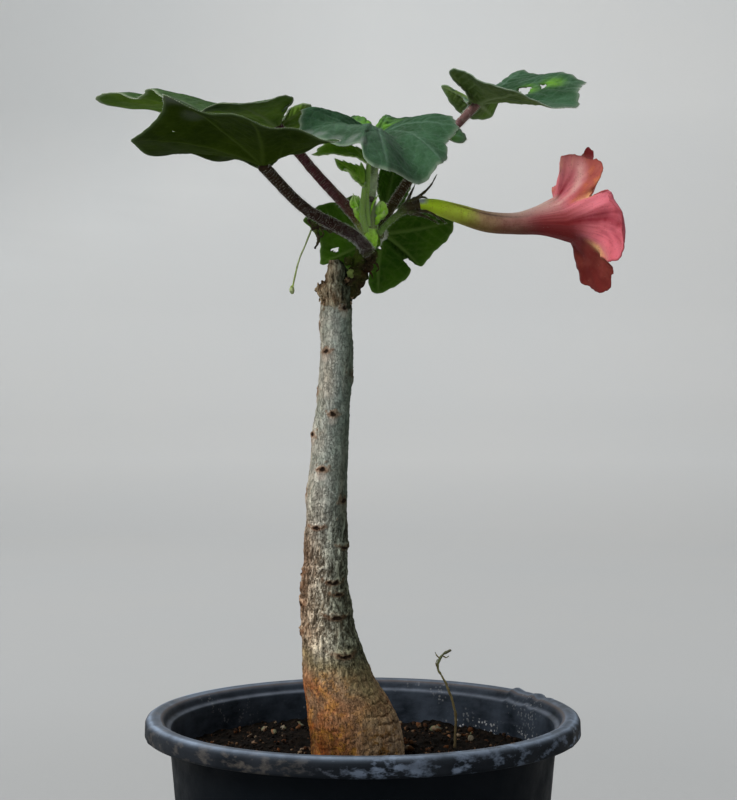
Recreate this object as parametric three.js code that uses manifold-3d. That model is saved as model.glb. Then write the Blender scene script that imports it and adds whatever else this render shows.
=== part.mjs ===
// A young uncarina in a nursery pot: a grey caudex trunk with one leafy, flowering shoot.
// Millimetres, +Z up. The origin is the middle of the pot's flat base.
import * as THREE from "three";
import { mergeVertices } from "three/addons/utils/BufferGeometryUtils.js";
import Module from "manifold-3d";

const wasm = await Module();
wasm.setup();

// ---------------------------------------------------------------- driving dimensions

const SEAT = 0.3; // clearance between two pieces that touch on the real plant
const BLADE = 0.8; // thickness of a leaf blade

const POT = {
  height: 130,
  baseRadius: 56,
  bevel: 1.5, // round the base, outside
  wall: 1.3,
  flare: 0.4, // how much wider the inside is at the floor than the wall's thickness asks
  fillet: 2, // between floor and wall, inside
  floor: 1.8,
  facets: 40,
};
// Section of the rim, from the outside of the wall over skirt and lip to its inside:
// [radius, depth below the top].
const RIM = [
  [67.5, 4.4], [69.1, 2.7], [73.5, 2.3], [74.2, 6.4], [75.5, 6.4], [75.3, 1.7],
  [74.3, 0.5], [71.9, 0], [69.5, 0.8], [68.5, 2.6], [67.7, 3.6], [66.2, 4.7],
];
const DRAINS = { count: 8, radius: 4.5, circle: 42, sides: 12 };

const SOIL = {
  level: 115,
  tilt: -0.02, // rise for each millimetre to the right
  roughness: 0.7,
  lumps: [4.1, 4.7, 2.3], // sizes of the lumps: wide, deep and fine
  sag: 3, // how far under its level the edge may lie
  inset: 3, // clear of the pot's wall at the floor
  bevel: [2, 3], // round the underside: width and height
  rings: 7,
  spokes: 36,
};
// Pebbles on a sunflower spiral, from one distance to another from the middle.
const PEBBLES = { count: 24, from: 24, to: 61, turn: 137.5, smallest: 1.2, largest: 2.5 };

// Trunk axis and radius at each height: [height, x, radius].
const TRUNK = [
  [84, -3, 4], [92, -2, 9], [103, -2, 13.5], [112, -2, 16], [120, -2.1, 16.1],
  [127, -3.3, 15.9], [134, -5.4, 14.5], [141, -8.2, 12.7], [147, -9.6, 11.6], [158, -12, 9.6],
  [169, -12.9, 8.6], [180, -13.1, 7.9], [203, -12.8, 7.1], [225, -11.6, 6.3], [247, -9.6, 5.8],
  [270, -9.2, 5.6], [275, -9.4, 5.9], [278, -9.7, 6.1], [280.5, -9.2, 4.4], [284.5, -9, 3.7],
  [287.6, -9.7, 2.3],
];
const COLLAR = [275, 278, 280.5, 284.5]; // heights that keep the outline of the trunk's top
const TRUNK_SIDES = 16;
const TRUNK_STEP = 5.4; // between two even rings
const TRUNK_CLEAR = 2.16; // least distance of an even ring from a scar or the collar
const TRUNK_ENDS = [2, 0.5]; // how far the closed ends bulge, below and on top
// Slight lengthwise ridges: how many round the trunk, their depth and their twist.
const RIDGES = [{ count: 3, depth: 0.12, twist: 11 }, { count: 5, depth: 0.1, twist: -6 }];

// Old leaf scars, each a raised nub: [height, bearing from +X in degrees, how far it stands out].
const SCARS = [
  [271, -59, 0.5], [256, -128, 0.6], [248, -5, 0.9], [242, 180, 1], [234, -85, 0.6],
  [227, -159, 0.8], [220, 70, 0.7], [215, -105, 0.7], [207, 180, 1.1], [204, -36, 0.7],
  [195, -115, 0.8], [188, -28, 0.8], [183, 110, 0.8], [179, 180, 1.1], [174, -67, 0.8],
  [168, -169, 1], [164, -68, 0.9], [158, 180, 1.5], [151, -67, 1.1], [265, 175, 0.8],
];
const SCAR = { halfHeight: 2, halfAngle: 17 };
// Creases pressed into the foot of the trunk: [height, bearing, depth].
const CREASES = [
  [122, -40, 0.5], [127, -30, 0.6], [132, -35, 0.6], [137, -55, 0.4], [125, -130, 0.4],
];
const CREASE = { halfHeight: 1.5, halfAngle: 40 };

// A stem is a path with a radius at its start and end, the count of its sides and of its steps.
const STEM_CAP = 0.3; // how far a stem's ends bulge, as a share of the radius
// A lump is a sphere whose corners are moved in or out by a share of its size.
const LUMP = { swell: 0.2, pitch: 7 };
const SHOOT_WOOD = {
  path: [[-6, 0, 276], [-3, -0.5, 280.5], [-1.2, 0, 284.5], [-0.2, 0, 288], [1.2, 0, 291.5]],
  from: 3.3,
  to: 3.4,
  sides: 12,
  steps: 7,
};
const SHOOT_KNOBS = [
  [1.6, -2, 285.5, 2], [-2.4, -3, 282.5, 2.1], [-5, -1.5, 287.6, 1.6], [3.3, 1, 289.2, 1.7],
];
const SHOOT_TIP = {
  path: [[1.2, 0, 290.5], [2.6, 0, 295.5], [3.4, -0.5, 300], [3, -1, 304.5]],
  from: 3,
  to: 1.3,
  sides: 10,
  steps: 5,
};
const BUDS = [[-2.6, -3, 307, 1.7], [6.4, -2.6, 304.4, 1.9]];
const BUD_LENGTH = 1.4; // over its width
const BUD_STALK = { from: 0.8, to: 0.8, sides: 6, steps: 2 };

// A leaf is a blade round its joint, and a stalk that runs up to the joint.
// margin: offsets from the joint, lobe tips and bays in turn, anticlockwise from above.
// crown: how far the blade rises between joint and margin, as a share of the distance.
const BLADE_RINGS = [0.38, 0.72, 1]; // shares of the way from joint to margin
const LEAVES = [
  {
    name: "front_left",
    joint: [-32, -45, 314.5],
    crown: 0.05,
    wave: 1,
    samples: 3,
    stalk: {
      path: [[0.5, -2, 293.5], [-4.5, -8, 296.5], [-19.5, -24, 303.3]],
      from: 2.2,
      to: 1.8,
    },
    margin: [
      [3, 6, 1.5], [8.5, 15, 6], [16, 7, 7], [25, -17, 5.5], [18, -26, 5], [8, -31, 7],
      [-1, -43, 7.5], [-12.5, -39, 10], [-26, -41, 15], [-29.5, -27, 12.5], [-40.5, -13, 6.5],
      [-40.5, 7, 6], [-34, 27, 7.5], [-22, 21, 6], [-13.5, 29, 6], [-4.5, 11, 1.5],
    ],
  },
  {
    name: "left",
    joint: [-30, 5, 335.4],
    crown: 0.03,
    wave: 0.8,
    samples: 2,
    stalk: {
      path: [[2, 1, 297], [-4, 2, 304.9], [-17, 4, 319.2]],
      from: 2,
      to: 1.7,
    },
    margin: [
      [1.5, -5, 1.5], [2.5, -17, 3.5], [6.5, -29, 4.5], [-1, -43, 1.5], [-12.5, -55, -1.5],
      [-21, -51, -2.5], [-27, -39, 0], [-35, -33, 4], [-41.5, -21, 9], [-47.5, -11, 8.5],
      [-56, -3, 11], [-65, 9, 11], [-55.5, 25, 11], [-45, 29, 10], [-33, 39, 9.5], [-17, 45, 8],
      [-4, 33, 4.5], [9, 27, 2.5], [18.5, 15, 2.5], [16, 3, 5.5], [11, -5, 6], [4.5, -3, 5.5],
    ],
  },
  {
    name: "front",
    joint: [4.5, -8, 329.2],
    crown: 0.12,
    wave: 0.8,
    samples: 2,
    stalk: {
      path: [[3.4, -1.5, 299], [3.1, -3, 309], [4, -5, 320]],
      from: 1.3,
      to: 1.4,
    },
    margin: [
      [-1, 4, 3.5], [-3, 10, 7.5], [-6.5, 16, 10], [-11.5, 16, 8], [-15.5, 2, 4], [-20, -6, 6],
      [-24, -14, 7.5], [-25.5, -20, 2], [-24, -27, -4], [-15, -36, -7], [-6, -44, -8.5],
      [-3.5, -54, -15], [3.5, -54, -18.5], [10, -48, -21], [16, -44, -20.5], [20.5, -40, -14.5],
      [23, -34, -11], [23, -28, -6.5], [26.5, -22, -0.5], [25, -12, 5], [21.5, 0, 6.5],
      [26, 6, 1], [31, 9, 1], [28.5, 16, 6], [20, 23, 9], [12.5, 22, 9], [5, 18, 10.5], [1, 10, 7],
    ],
  },
  {
    name: "right",
    joint: [40.6, 12, 344.8],
    crown: 0.03,
    wave: 0.8,
    samples: 2,
    stalk: {
      path: [[5, 1, 296.5], [8, 3, 303.6], [16.5, 6, 317], [31.5, 14, 335]],
      from: 1.9,
      to: 1.4,
    },
    margin: [
      [-3.5, -6, -0.5], [-6.5, -12, 3.5], [-10.5, -20, 7], [-4.5, -30, 4.5], [2, -36, 0],
      [12, -38, -4], [21.5, -34, -6.5], [27, -30, -7.5], [33, -22, -4.5], [35, -12, 2],
      [37.5, -4, 8], [32, 4, 10.5], [25.5, 12, 13.5], [17.5, 18, 14], [10, 22, 11],
      [10, 24, 5.5], [7, 24, 0.5], [-1, 16, -3], [-5.5, 14, -0.5], [-11.5, 10, 7.5], [-5, 4, 3],
    ],
  },
  {
    name: "back",
    joint: [7, 14, 298.5],
    crown: 0.04,
    wave: 0.8,
    samples: 2,
    up: [0, 1, 0.2],
    stalk: {
      path: [[4, 2, 294.5], [5.5, 6, 296.8]],
      from: 1.9,
      to: 1.6,
    },
    margin: [
      [3.5, 4, 7], [10, 2, 10.5], [17.5, 4, 11], [25.5, 10, 5.5], [24, 14, -0.5], [19, 16, -5],
      [14, 18, -10], [9.5, 16, -7.5], [6.5, 16, -9], [10.5, 16, -12], [6.5, 18, -16.5],
      [-1.5, 20, -20], [-5, 20, -16.5], [-4.5, 18, -8], [-12, 16, -11.5], [-18, 17, -9],
      [-22.5, 18, -9], [-23, 14, -1], [-26, 13, 3], [-28.5, 12, 6.5], [-23.5, 10, 11],
      [-16.5, 8, 12.5], [-9.5, 6, 14], [-3.5, 3, 5],
    ],
  },
];

// Young leaves keep blade and stalk in one piece, soft and all one colour.
const YOUNG_LEAVES = [
  {
    name: "young_leaf_upper",
    joint: [2, -7, 320.5],
    crown: 0.1,
    wave: 0.5,
    samples: 2,
    stalk: {
      path: [[1.8, -4.5, 299.5], [1.2, -6, 308]],
      from: 1.1,
      to: 0.9,
    },
    margin: [
      [0, 2, 3], [-5, 2, 6], [-10, -2, 8], [-14, -6, 6.5], [-18, -11, 2], [-13, -13, 1.5],
      [-9, -12, 1.5], [-4, -8, 1], [-0.5, -3, 0],
    ],
  },
  {
    name: "young_leaf_lower",
    joint: [0.6, -7.5, 312.5],
    crown: 0.1,
    wave: 0.4,
    samples: 2,
    stalk: {
      path: [[0.9, -5, 297.2], [-0.3, -6.8, 304.5]],
      from: 1.1,
      to: 0.9,
    },
    margin: [
      [0.5, 1.5, 3], [-1, 1, 7], [-5, -4, 8], [-9.5, -9, 7.5], [-8, -10, 5], [-6, -10, 4],
      [-4.5, -8, 3], [-3, -6, 1], [-1, -3, 0],
    ],
  },
  {
    name: "young_leaf_right",
    joint: [7.5, 9, 306],
    crown: 0.08,
    wave: 0.5,
    samples: 2,
    stalk: {
      path: [[4.8, 3.5, 299], [6.5, 7, 302.5]],
      from: 1.1,
      to: 0.9,
    },
    margin: [
      [-1, 1, 4], [-3, 3, 10], [-1, 7, 16], [4, 11, 19], [9, 12, 15], [9.5, 9, 10], [8, 5, 5],
      [5, 2, 1], [1.5, 0, 0],
    ],
  },
];

// The flower lies along +X. Tube: [x, height, radius] along its middle line.
const FLOWER_Y = -5;
const TUBE_FOOT = 0.8; // how far the tube's closed foot bulges
const TUBE = [
  [19, 306.7, 1.6], [25, 306, 2.4], [33, 303.6, 3], [43, 300.7, 3.4], [53, 300.1, 3.6],
  [61, 300.9, 5], [69.3, 301.2, 8.4],
];
const THROAT_AXIS = [0.917, 0, 0.396];
const PETAL = 0.7; // wall of tube and petals
const PETAL_ARCH = 0.3; // how far the side petals first run on along the axis before they turn out
// Five petals round the throat: a bay and four points of its edge, offsets from the throat.
const PETALS = [
  [[8, -8, 7], [13, -17, 9], [14.5, -22, 3], [18, -24, -9], [14, -19, -16]],
  [[12, -12, -14], [15.3, -9, -18], [14.8, -4, -24.8], [7.2, 2, -22.5], [6.3, 8, -16]],
  [[8, 11, -10], [17, 17, -13], [22, 24, -4], [20, 23, 6], [15, 17, 11]],
  [[11, 10, 10], [13, 12, 15], [11.5, 11, 20], [10, 9, 27.5], [5, 9, 18]],
  [[-3.2, 1, 11], [-0.2, -3, 15.3], [-1.4, -5, 21], [5.4, -4, 22.2], [12.9, -7, 17.4]],
];
const PETAL_START = 65; // bearing of the first bay, from the top of the throat towards -Y
const PETAL_SAMPLES = 2;
const PETAL_RINGS = [0.35, 0.68, 1]; // shares of the way from throat to edge

const CALYX = {
  path: [
    [5.5, -2, 297], [8.7, -4, 300.4], [12.5, -5, 303.6], [15.8, -5, 305.8], [19.5, -5, 306.8],
  ],
  radii: [1.1, 1.1, 1.3, 2.3, 2.5],
  sides: 10,
};
const SEPALS = [
  [[15.5, -6, 307.5], [19, -7.5, 309], [23, -8, 312.5], [25.5, -8, 316.8]],
  [[15.3, -4, 307.5], [16.5, -3, 310.5], [18.3, -2.5, 314.5]],
  [[17.5, -4, 308.6], [20.5, -3, 309.6], [23, -2, 308.8]],
  [[16, -6, 304], [22.5, -8, 303.8], [29, -9, 299.6]],
  [[16, -3.5, 304], [21.5, -2, 303], [26.5, -1.5, 300.5]],
];
const SEPAL = { from: 0.9, to: 0.4, sides: 5, steps: 4 };

// Style and filaments follow the tube's middle line. Places are shares of the tube's length.
const STYLE = { places: [0.05, 0.3, 0.6, 0.93], from: 0.5, to: 0.5, sides: 5, steps: 7 };
const STIGMA = 1;
const FILAMENT = { places: [0.08, 0.3, 0.62], from: 0.45, to: 0.45, sides: 5, steps: 4 };
const FILAMENT_SPLAY = [0, 1, 1.2]; // at each of those places, as a share of the offset
const ANTHER = { place: 0.63, size: 0.9 };
const KNOB_HEIGHT = 0.8; // of stigma and anthers, over their width
const STAMENS = [[0.9, 0.9], [-0.9, 0.9], [0.9, -0.9], [-0.9, -0.9]]; // offsets along Y and up

const SPENT_CALYX = {
  path: [
    [2.4, 1, 294.6], [-1.5, 6, 295.4], [-6, 10.5, 297.2], [-11, 14, 300], [-15, 16, 301.5],
    [-17.8, 16.5, 300.6],
  ],
  radii: [1, 0.9, 0.8, 0.8, 1.4, 1.2],
  sides: 10,
};
const SPENT_SEPALS = [
  [[-15, 15, 302], [-16.5, 13, 304], [-15, 11.5, 304.8]],
  [[-17, 16, 301.5], [-19.5, 15, 303], [-18.5, 14.5, 305]],
  [[-17, 16, 300], [-16, 15, 296.5], [-17.3, 14.5, 293.2]],
];
const SPENT_STYLE = {
  path: [[-18.7, 16.5, 300.1], [-20.8, 16.5, 294.7], [-23.3, 16.3, 288.5], [-25.6, 16, 278.5]],
  from: 0.35,
  to: 0.35,
  sides: 6,
  steps: 7,
};
const SPENT_STIGMA = { size: 1, length: 1.4 };

const TWIG = {
  path: [
    [32.1, 14, 106], [32.9, 14, 118], [32.9, 14, 127.4], [30, 14, 136.7], [26.8, 14, 143],
    [28.2, 14, 147.6], [31.4, 14, 149.5],
  ],
  from: 0.5,
  to: 0.4,
  sides: 6,
  steps: 10,
};

const FINISH = {
  pot: [0x17191c, 0.5],
  soil: [0x3a2a1c, 0.95],
  trunk: [0x8f8a78, 0.85],
  wood: [0x3a2a1a, 0.9],
  green: [0x6f9a3c, 0.6],
  stalk: [0x4a2630, 0.55],
  blade: [0x2f5132, 0.7],
  young: [0x7ea63e, 0.6],
  calyx: [0x3f4a22, 0.7],
  petal: [0xc8545c, 0.6],
  stamen: [0xd9cf8a, 0.6],
  spent: [0x3b3020, 0.8],
  twig: [0x6f6640, 0.8],
};

// ---------------------------------------------------------------- shared geometry

const vector = ([x, y, z]) => new THREE.Vector3(x, y, z);
const radians = THREE.MathUtils.degToRad;
const smooth = (t) => t * t * (3 - 2 * t);

/** Makes a manifold-3d solid of a closed geometry. */
function solidOf(geometry) {
  const bare = new THREE.BufferGeometry().setAttribute("position", geometry.getAttribute("position"));
  if (geometry.index) bare.setIndex(geometry.index);
  const merged = mergeVertices(bare, 1e-4);
  return new wasm.Manifold(
    new wasm.Mesh({
      numProp: 3,
      vertProperties: new Float32Array(merged.getAttribute("position").array),
      triVerts: new Uint32Array(merged.index.array),
    }),
  );
}

/** Turns a manifold-3d solid back into a geometry. */
function geometryOf(solid) {
  const mesh = solid.getMesh();
  const geometry = new THREE.BufferGeometry();
  geometry.setAttribute("position", new THREE.BufferAttribute(mesh.vertProperties, 3));
  geometry.setIndex(new THREE.BufferAttribute(mesh.triVerts, 1));
  geometry.computeVertexNormals();
  return geometry;
}

/**
 * A closed body from a first pole, rings of equal count and a last pole. From ring `turn` on,
 * the quads are split along their other diagonal, so that both faces of a blade fold alike.
 */
function skin(first, rings, last, turn = rings.length) {
  const count = rings[0].length;
  const points = [first, ...rings.flat(), last];
  const at = (ring, spoke) => 1 + ring * count + (spoke % count);
  const end = rings.length - 1;
  const faces = [];
  for (let j = 0; j < count; j += 1) {
    faces.push([0, at(0, j), at(0, j + 1)], [points.length - 1, at(end, j + 1), at(end, j)]);
    for (let i = 0; i < end; i += 1) {
      const [a, b, c, d] = [at(i, j), at(i + 1, j), at(i + 1, j + 1), at(i, j + 1)];
      if (i < turn) faces.push([a, b, c], [a, c, d]);
      else faces.push([a, b, d], [b, c, d]);
    }
  }
  const volume = faces.reduce(
    (sum, [a, b, c]) => sum + points[a].dot(points[b].clone().cross(points[c])),
    0,
  );
  const geometry = new THREE.BufferGeometry().setFromPoints(points);
  geometry.setIndex(faces.flatMap(([a, b, c]) => (volume > 0 ? [a, b, c] : [a, c, b])));
  return solidOf(geometry);
}

/** A thin body of even thickness about a middle surface that is a pole and rings round it. */
function sheet(pole, rings, thickness) {
  const count = rings[0].length;
  const points = [pole, ...rings.flat()];
  const normals = points.map(() => new THREE.Vector3());
  const at = (ring, spoke) => 1 + ring * count + (spoke % count);
  const add = (a, b, c) => {
    const normal = points[b].clone().sub(points[a]).cross(points[c].clone().sub(points[a]));
    for (const corner of [a, b, c]) normals[corner].add(normal);
  };
  for (let j = 0; j < count; j += 1) {
    add(0, at(0, j), at(0, j + 1));
    for (let i = 0; i + 1 < rings.length; i += 1) {
      add(at(i, j), at(i + 1, j), at(i + 1, j + 1));
      add(at(i, j), at(i + 1, j + 1), at(i, j + 1));
    }
  }
  for (const normal of normals) normal.normalize();
  const shifted = (by) => points.map((p, k) => p.clone().addScaledVector(normals[k], by));
  const upper = shifted(thickness / 2);
  const lower = shifted(-thickness / 2);
  const ringOf = (face, i) => face.slice(at(i, 0), at(i, 0) + count);
  const order = rings.map((_, i) => i);
  return skin(
    upper[0],
    [...order.map((i) => ringOf(upper, i)), ...order.reverse().map((i) => ringOf(lower, i))],
    lower[0],
    rings.length,
  );
}

/** A round stem along a path. `radius` gives its radius at each share of its length. */
function stem(path, radius, sides = 8, steps = 2 * path.length) {
  const curve = new THREE.CatmullRomCurve3(path.map(vector));
  const frames = curve.computeFrenetFrames(steps);
  const rings = [];
  for (let i = 0; i <= steps; i += 1) {
    const middle = curve.getPointAt(i / steps);
    const r = radius(i / steps);
    rings.push(
      Array.from({ length: sides }, (_, j) => {
        const turn = (2 * Math.PI * j) / sides;
        return middle
          .clone()
          .addScaledVector(frames.normals[i], r * Math.cos(turn))
          .addScaledVector(frames.binormals[i], r * Math.sin(turn));
      }),
    );
  }
  const tip = (t, i, way) =>
    curve.getPointAt(t).addScaledVector(frames.tangents[i], way * STEM_CAP * radius(t));
  return skin(tip(0, 0, -1), rings, tip(1, steps, 1));
}

/** A stem whose radius runs evenly from one value to another. */
const tapered = (path, { from, to, sides, steps }, extra = 0) =>
  stem(path, (t) => from + (to - from) * t + extra, sides, steps);

/** Straight-line interpolation in a short list of values spread evenly over 0 to 1. */
const spread = (values) => (t) => {
  const k = Math.min(Math.floor(t * (values.length - 1)), values.length - 2);
  return values[k] + (values[k + 1] - values[k]) * (t * (values.length - 1) - k);
};

/** Joins solids into one. */
const join = (solids) => solids.reduce((sum, solid) => sum.add(solid));

/** Cuts clearances from a solid and keeps its largest piece. */
function seat(solid, clearances) {
  const cut = clearances.reduce((rest, clearance) => rest.subtract(clearance), solid);
  return cut.decompose().sort((a, b) => b.volume() - a.volume())[0];
}

/** A lump: an icosahedron with its corners moved by a fixed rule, so no two look alike. */
function lump([x, y, z, size], tall = 1, seed = 0) {
  const geometry = new THREE.IcosahedronGeometry(size, 0);
  const position = geometry.getAttribute("position");
  for (let i = 0; i < position.count; i += 1) {
    const p = new THREE.Vector3().fromBufferAttribute(position, i);
    const phase = (LUMP.pitch * (p.x + 2 * p.y + 3 * p.z)) / size + seed;
    const swell = 1 + LUMP.swell * Math.sin(phase);
    position.setXYZ(i, x + swell * p.x, y + swell * p.y, z + tall * swell * p.z);
  }
  return solidOf(geometry);
}

// ---------------------------------------------------------------- pot and soil

/** Outside and inside of the pot as one closed outline, [radius, height]. */
function potOutline() {
  const { height, baseRadius, bevel, wall, flare, fillet, floor } = POT;
  const inside = baseRadius - wall + flare;
  return [
    [0, 0], [baseRadius - bevel, 0], [baseRadius, bevel],
    ...RIM.map(([radius, depth]) => [radius, height - depth]),
    [inside, floor + fillet], [inside - fillet, floor], [0, floor],
  ];
}

function pot() {
  const outline = potOutline().map(([r, z]) => new THREE.Vector2(r, z));
  const body = solidOf(new THREE.LatheGeometry(outline, POT.facets).rotateX(Math.PI / 2));
  const { count, radius, circle, sides } = DRAINS;
  const drills = Array.from({ length: count }, (_, i) => {
    const turn = (2 * Math.PI * (i + 0.5)) / count;
    const drill = new THREE.CylinderGeometry(radius, radius, 4 * POT.floor, sides);
    drill.rotateX(Math.PI / 2).translate(circle * Math.cos(turn), circle * Math.sin(turn), 0);
    return solidOf(drill);
  });
  return seat(body, drills);
}

/** Height of the soil at a place: it rises to the left and is lumpy. */
function soilHeight(x, y) {
  const [wide, deep, fine] = SOIL.lumps;
  const lumps = Math.sin(x / wide + 1) * Math.cos(y / deep) + 0.6 * Math.sin((x + y) / fine + 2);
  return SOIL.level + SOIL.tilt * x + SOIL.roughness * lumps;
}

/** Inner radius of the pot's wall at a height. */
function potInside(z) {
  const bottom = POT.baseRadius - POT.wall;
  const [top, depth] = RIM.at(-1);
  return bottom + ((top - bottom) * z) / (POT.height - depth);
}

function soil(holes) {
  const at = (radius, j, z) => {
    const turn = (2 * Math.PI * j) / SOIL.spokes;
    const [x, y] = [radius * Math.cos(turn), radius * Math.sin(turn)];
    return new THREE.Vector3(x, y, z ?? soilHeight(x, y));
  };
  const ring = (radius, z) => Array.from({ length: SOIL.spokes }, (_, j) => at(radius, j, z));
  const edge = potInside(SOIL.level - SOIL.sag) - 2 * SEAT;
  const foot = POT.floor + SEAT;
  const base = potInside(foot) - SOIL.inset;
  const [width, height] = SOIL.bevel;
  const top = Array.from({ length: SOIL.rings }, (_, i) => ring((edge * (i + 1)) / SOIL.rings));
  const body = skin(
    at(0, 0),
    [...top, ring(base, foot + height), ring(base - width, foot)],
    new THREE.Vector3(0, 0, foot),
  );
  const { count, from, to, turn, smallest, largest } = PEBBLES;
  const pebbles = Array.from({ length: count }, (_, i) => {
    const reach = from + (to - from) * Math.sqrt((i + 0.5) / count);
    const [x, y] = [reach * Math.cos(radians(turn) * i), reach * Math.sin(radians(turn) * i)];
    const size = smallest + (largest - smallest) * Math.abs(Math.sin(5 * i + 1));
    return lump([x, y, soilHeight(x, y) + 0.1 * size, size], 0.8, i);
  });
  return seat(join([body, ...pebbles]), holes);
}

// ---------------------------------------------------------------- trunk and shoot

const trunkLine = new THREE.CatmullRomCurve3(TRUNK.map(([z, x, r]) => new THREE.Vector3(x, r, z)));

/** Axis offset and radius of the trunk at a height, between the listed heights. */
function trunkAt(z) {
  const k = Math.max(1, TRUNK.findIndex(([height]) => height >= z));
  const [low, high] = [TRUNK[k - 1], TRUNK[k]];
  const t = (k - 1 + (z - low[0]) / (high[0] - low[0])) / (TRUNK.length - 1);
  const p = trunkLine.getPoint(t);
  return { x: p.x, radius: p.y };
}

/** How far the bark stands out at a height and bearing: scars, creases and slight ridges. */
function bark(z, bearing) {
  const sum = (list, shape) => list.reduce((total, item) => total + shape(item), 0);
  const marks = (list, { halfHeight, halfAngle }) =>
    sum(list, ([height, at, size]) => {
      const away = THREE.MathUtils.euclideanModulo(bearing - at + 180, 360) - 180;
      return size * Math.exp(-(((z - height) / halfHeight) ** 2) - (away / halfAngle) ** 2);
    });
  const ridge = ({ count, depth, twist }) => depth * Math.sin(radians(count * bearing) + z / twist);
  return sum(RIDGES, ridge) + marks(SCARS, SCAR) - marks(CREASES, CREASE);
}

function trunk(extra = 0) {
  const [lowest, highest] = [TRUNK[0][0], TRUNK.at(-1)[0]];
  const marks = [...SCARS.map(([z]) => z), ...COLLAR];
  const even = Array.from(
    { length: Math.floor((highest - lowest) / TRUNK_STEP) },
    (_, i) => lowest + i * TRUNK_STEP,
  ).filter((z) => marks.every((mark) => Math.abs(mark - z) > TRUNK_CLEAR));
  const levels = [...even, ...marks, highest].sort((a, b) => a - b);
  const rings = levels.map((z) => {
    const { x, radius } = trunkAt(z);
    return Array.from({ length: TRUNK_SIDES }, (_, j) => {
      const bearing = (360 * j) / TRUNK_SIDES;
      const r = radius + bark(z, bearing) + extra;
      return new THREE.Vector3(x + r * Math.cos(radians(bearing)), r * Math.sin(radians(bearing)), z);
    });
  });
  const [below, above] = TRUNK_ENDS;
  return skin(
    new THREE.Vector3(trunkAt(lowest).x, 0, lowest - below - extra),
    rings,
    new THREE.Vector3(trunkAt(highest).x, 0, highest + above + extra),
  );
}

const shootWood = (extra = 0) =>
  join([
    tapered(SHOOT_WOOD.path, SHOOT_WOOD, extra),
    ...SHOOT_KNOBS.map(([x, y, z, size], i) => lump([x, y, z, size + extra], 1, i)),
  ]);

const shootTip = (extra = 0) =>
  join([
    tapered(SHOOT_TIP.path, SHOOT_TIP, extra),
    ...BUDS.map(([x, y, z, size], i) =>
      join([
        lump([x, y, z, size + extra], BUD_LENGTH, i),
        tapered([SHOOT_TIP.path[1], [x, y, z]], BUD_STALK, extra),
      ]),
    ),
  ]);

// ---------------------------------------------------------------- leaves

/** A blade: straight spokes from the joint to the margin, arched by the crown and waved at the edge. */
function blade({ joint, margin, crown, wave, samples, up = [0, 0, 1] }, thickness = BLADE) {
  const edge = new THREE.CatmullRomCurve3(margin.map(vector), true, "catmullrom", 0.5);
  const spokes = samples * margin.length;
  const waves = Math.round(margin.length / 2);
  const rise = vector(up).normalize();
  const ring = (s) =>
    Array.from({ length: spokes }, (_, j) => {
      const out = edge.getPoint(j / spokes);
      const lift = 4 * crown * s * (1 - s) * out.length();
      const ripple = wave * s ** 3 * Math.sin((2 * Math.PI * waves * j) / spokes);
      return vector(joint).addScaledVector(out, s).addScaledVector(rise, lift + ripple);
    });
  return sheet(vector(joint), BLADE_RINGS.map(ring), thickness);
}

const stalk = (leaf, extra = 0) => tapered([...leaf.stalk.path, leaf.joint], leaf.stalk, extra);

// ---------------------------------------------------------------- flower

/** A ring of the flower: a circle about the tube's middle line, turned towards the throat's axis. */
function flowerRing(middle, axis, radius, spokes) {
  const up = new THREE.Vector3(-axis.z, 0, axis.x);
  return Array.from({ length: spokes }, (_, j) => {
    const bearing = radians(PETAL_START + (360 * j) / spokes);
    return middle
      .clone()
      .addScaledVector(up, radius * Math.cos(bearing))
      .add(new THREE.Vector3(0, -radius * Math.sin(bearing), 0));
  });
}

const tubeLine = new THREE.CatmullRomCurve3(TUBE.map(([x, z]) => new THREE.Vector3(x, FLOWER_Y, z)));
const throatAxis = vector(THROAT_AXIS);

/** The rings of the tube, from its foot to the throat, and the pole that closes its foot. */
function tubeRings(spokes, extra = 0) {
  const rings = TUBE.map(([, , radius], i) => {
    const t = i / (TUBE.length - 1);
    const axis = tubeLine.getTangent(t).lerp(throatAxis, smooth(t) ** 3).normalize();
    return flowerRing(tubeLine.getPoint(t), axis, radius + extra, spokes);
  });
  const foot = tubeLine.getPoint(0).addScaledVector(tubeLine.getTangent(0), -TUBE_FOOT - extra);
  return { foot, rings };
}

function corolla() {
  const spokes = PETAL_SAMPLES * PETALS.flat().length;
  const { foot, rings } = tubeRings(spokes);
  const throat = rings.at(-1);
  const middle = tubeLine.getPoint(1);
  const edge = new THREE.CatmullRomCurve3(PETALS.flat().map(vector), true, "catmullrom", 0.5);
  for (const s of PETAL_RINGS)
    rings.push(
      throat.map((start, j) => {
        const end = edge.getPoint(j / spokes).add(middle);
        const side = Math.sin(radians(PETAL_START + (360 * j) / spokes)) ** 2;
        const arch = 4 * PETAL_ARCH * side * s * (1 - s) * end.distanceTo(start);
        return start.clone().lerp(end, s).addScaledVector(throatAxis, arch);
      }),
    );
  return sheet(foot, rings, PETAL);
}

/** The room that the corolla's tube takes up, with its clearance. */
function tubeRoom() {
  const { foot, rings } = tubeRings(16, PETAL / 2 + 1.5 * SEAT);
  return skin(foot, rings, tubeLine.getPoint(1));
}

/** A stalk that swells into a cup, with its sepals. */
const calyx = (sepals, { path, radii, sides }) =>
  join([stem(path, spread(radii), sides), ...sepals.map((line) => tapered(line, SEPAL))]);

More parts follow.
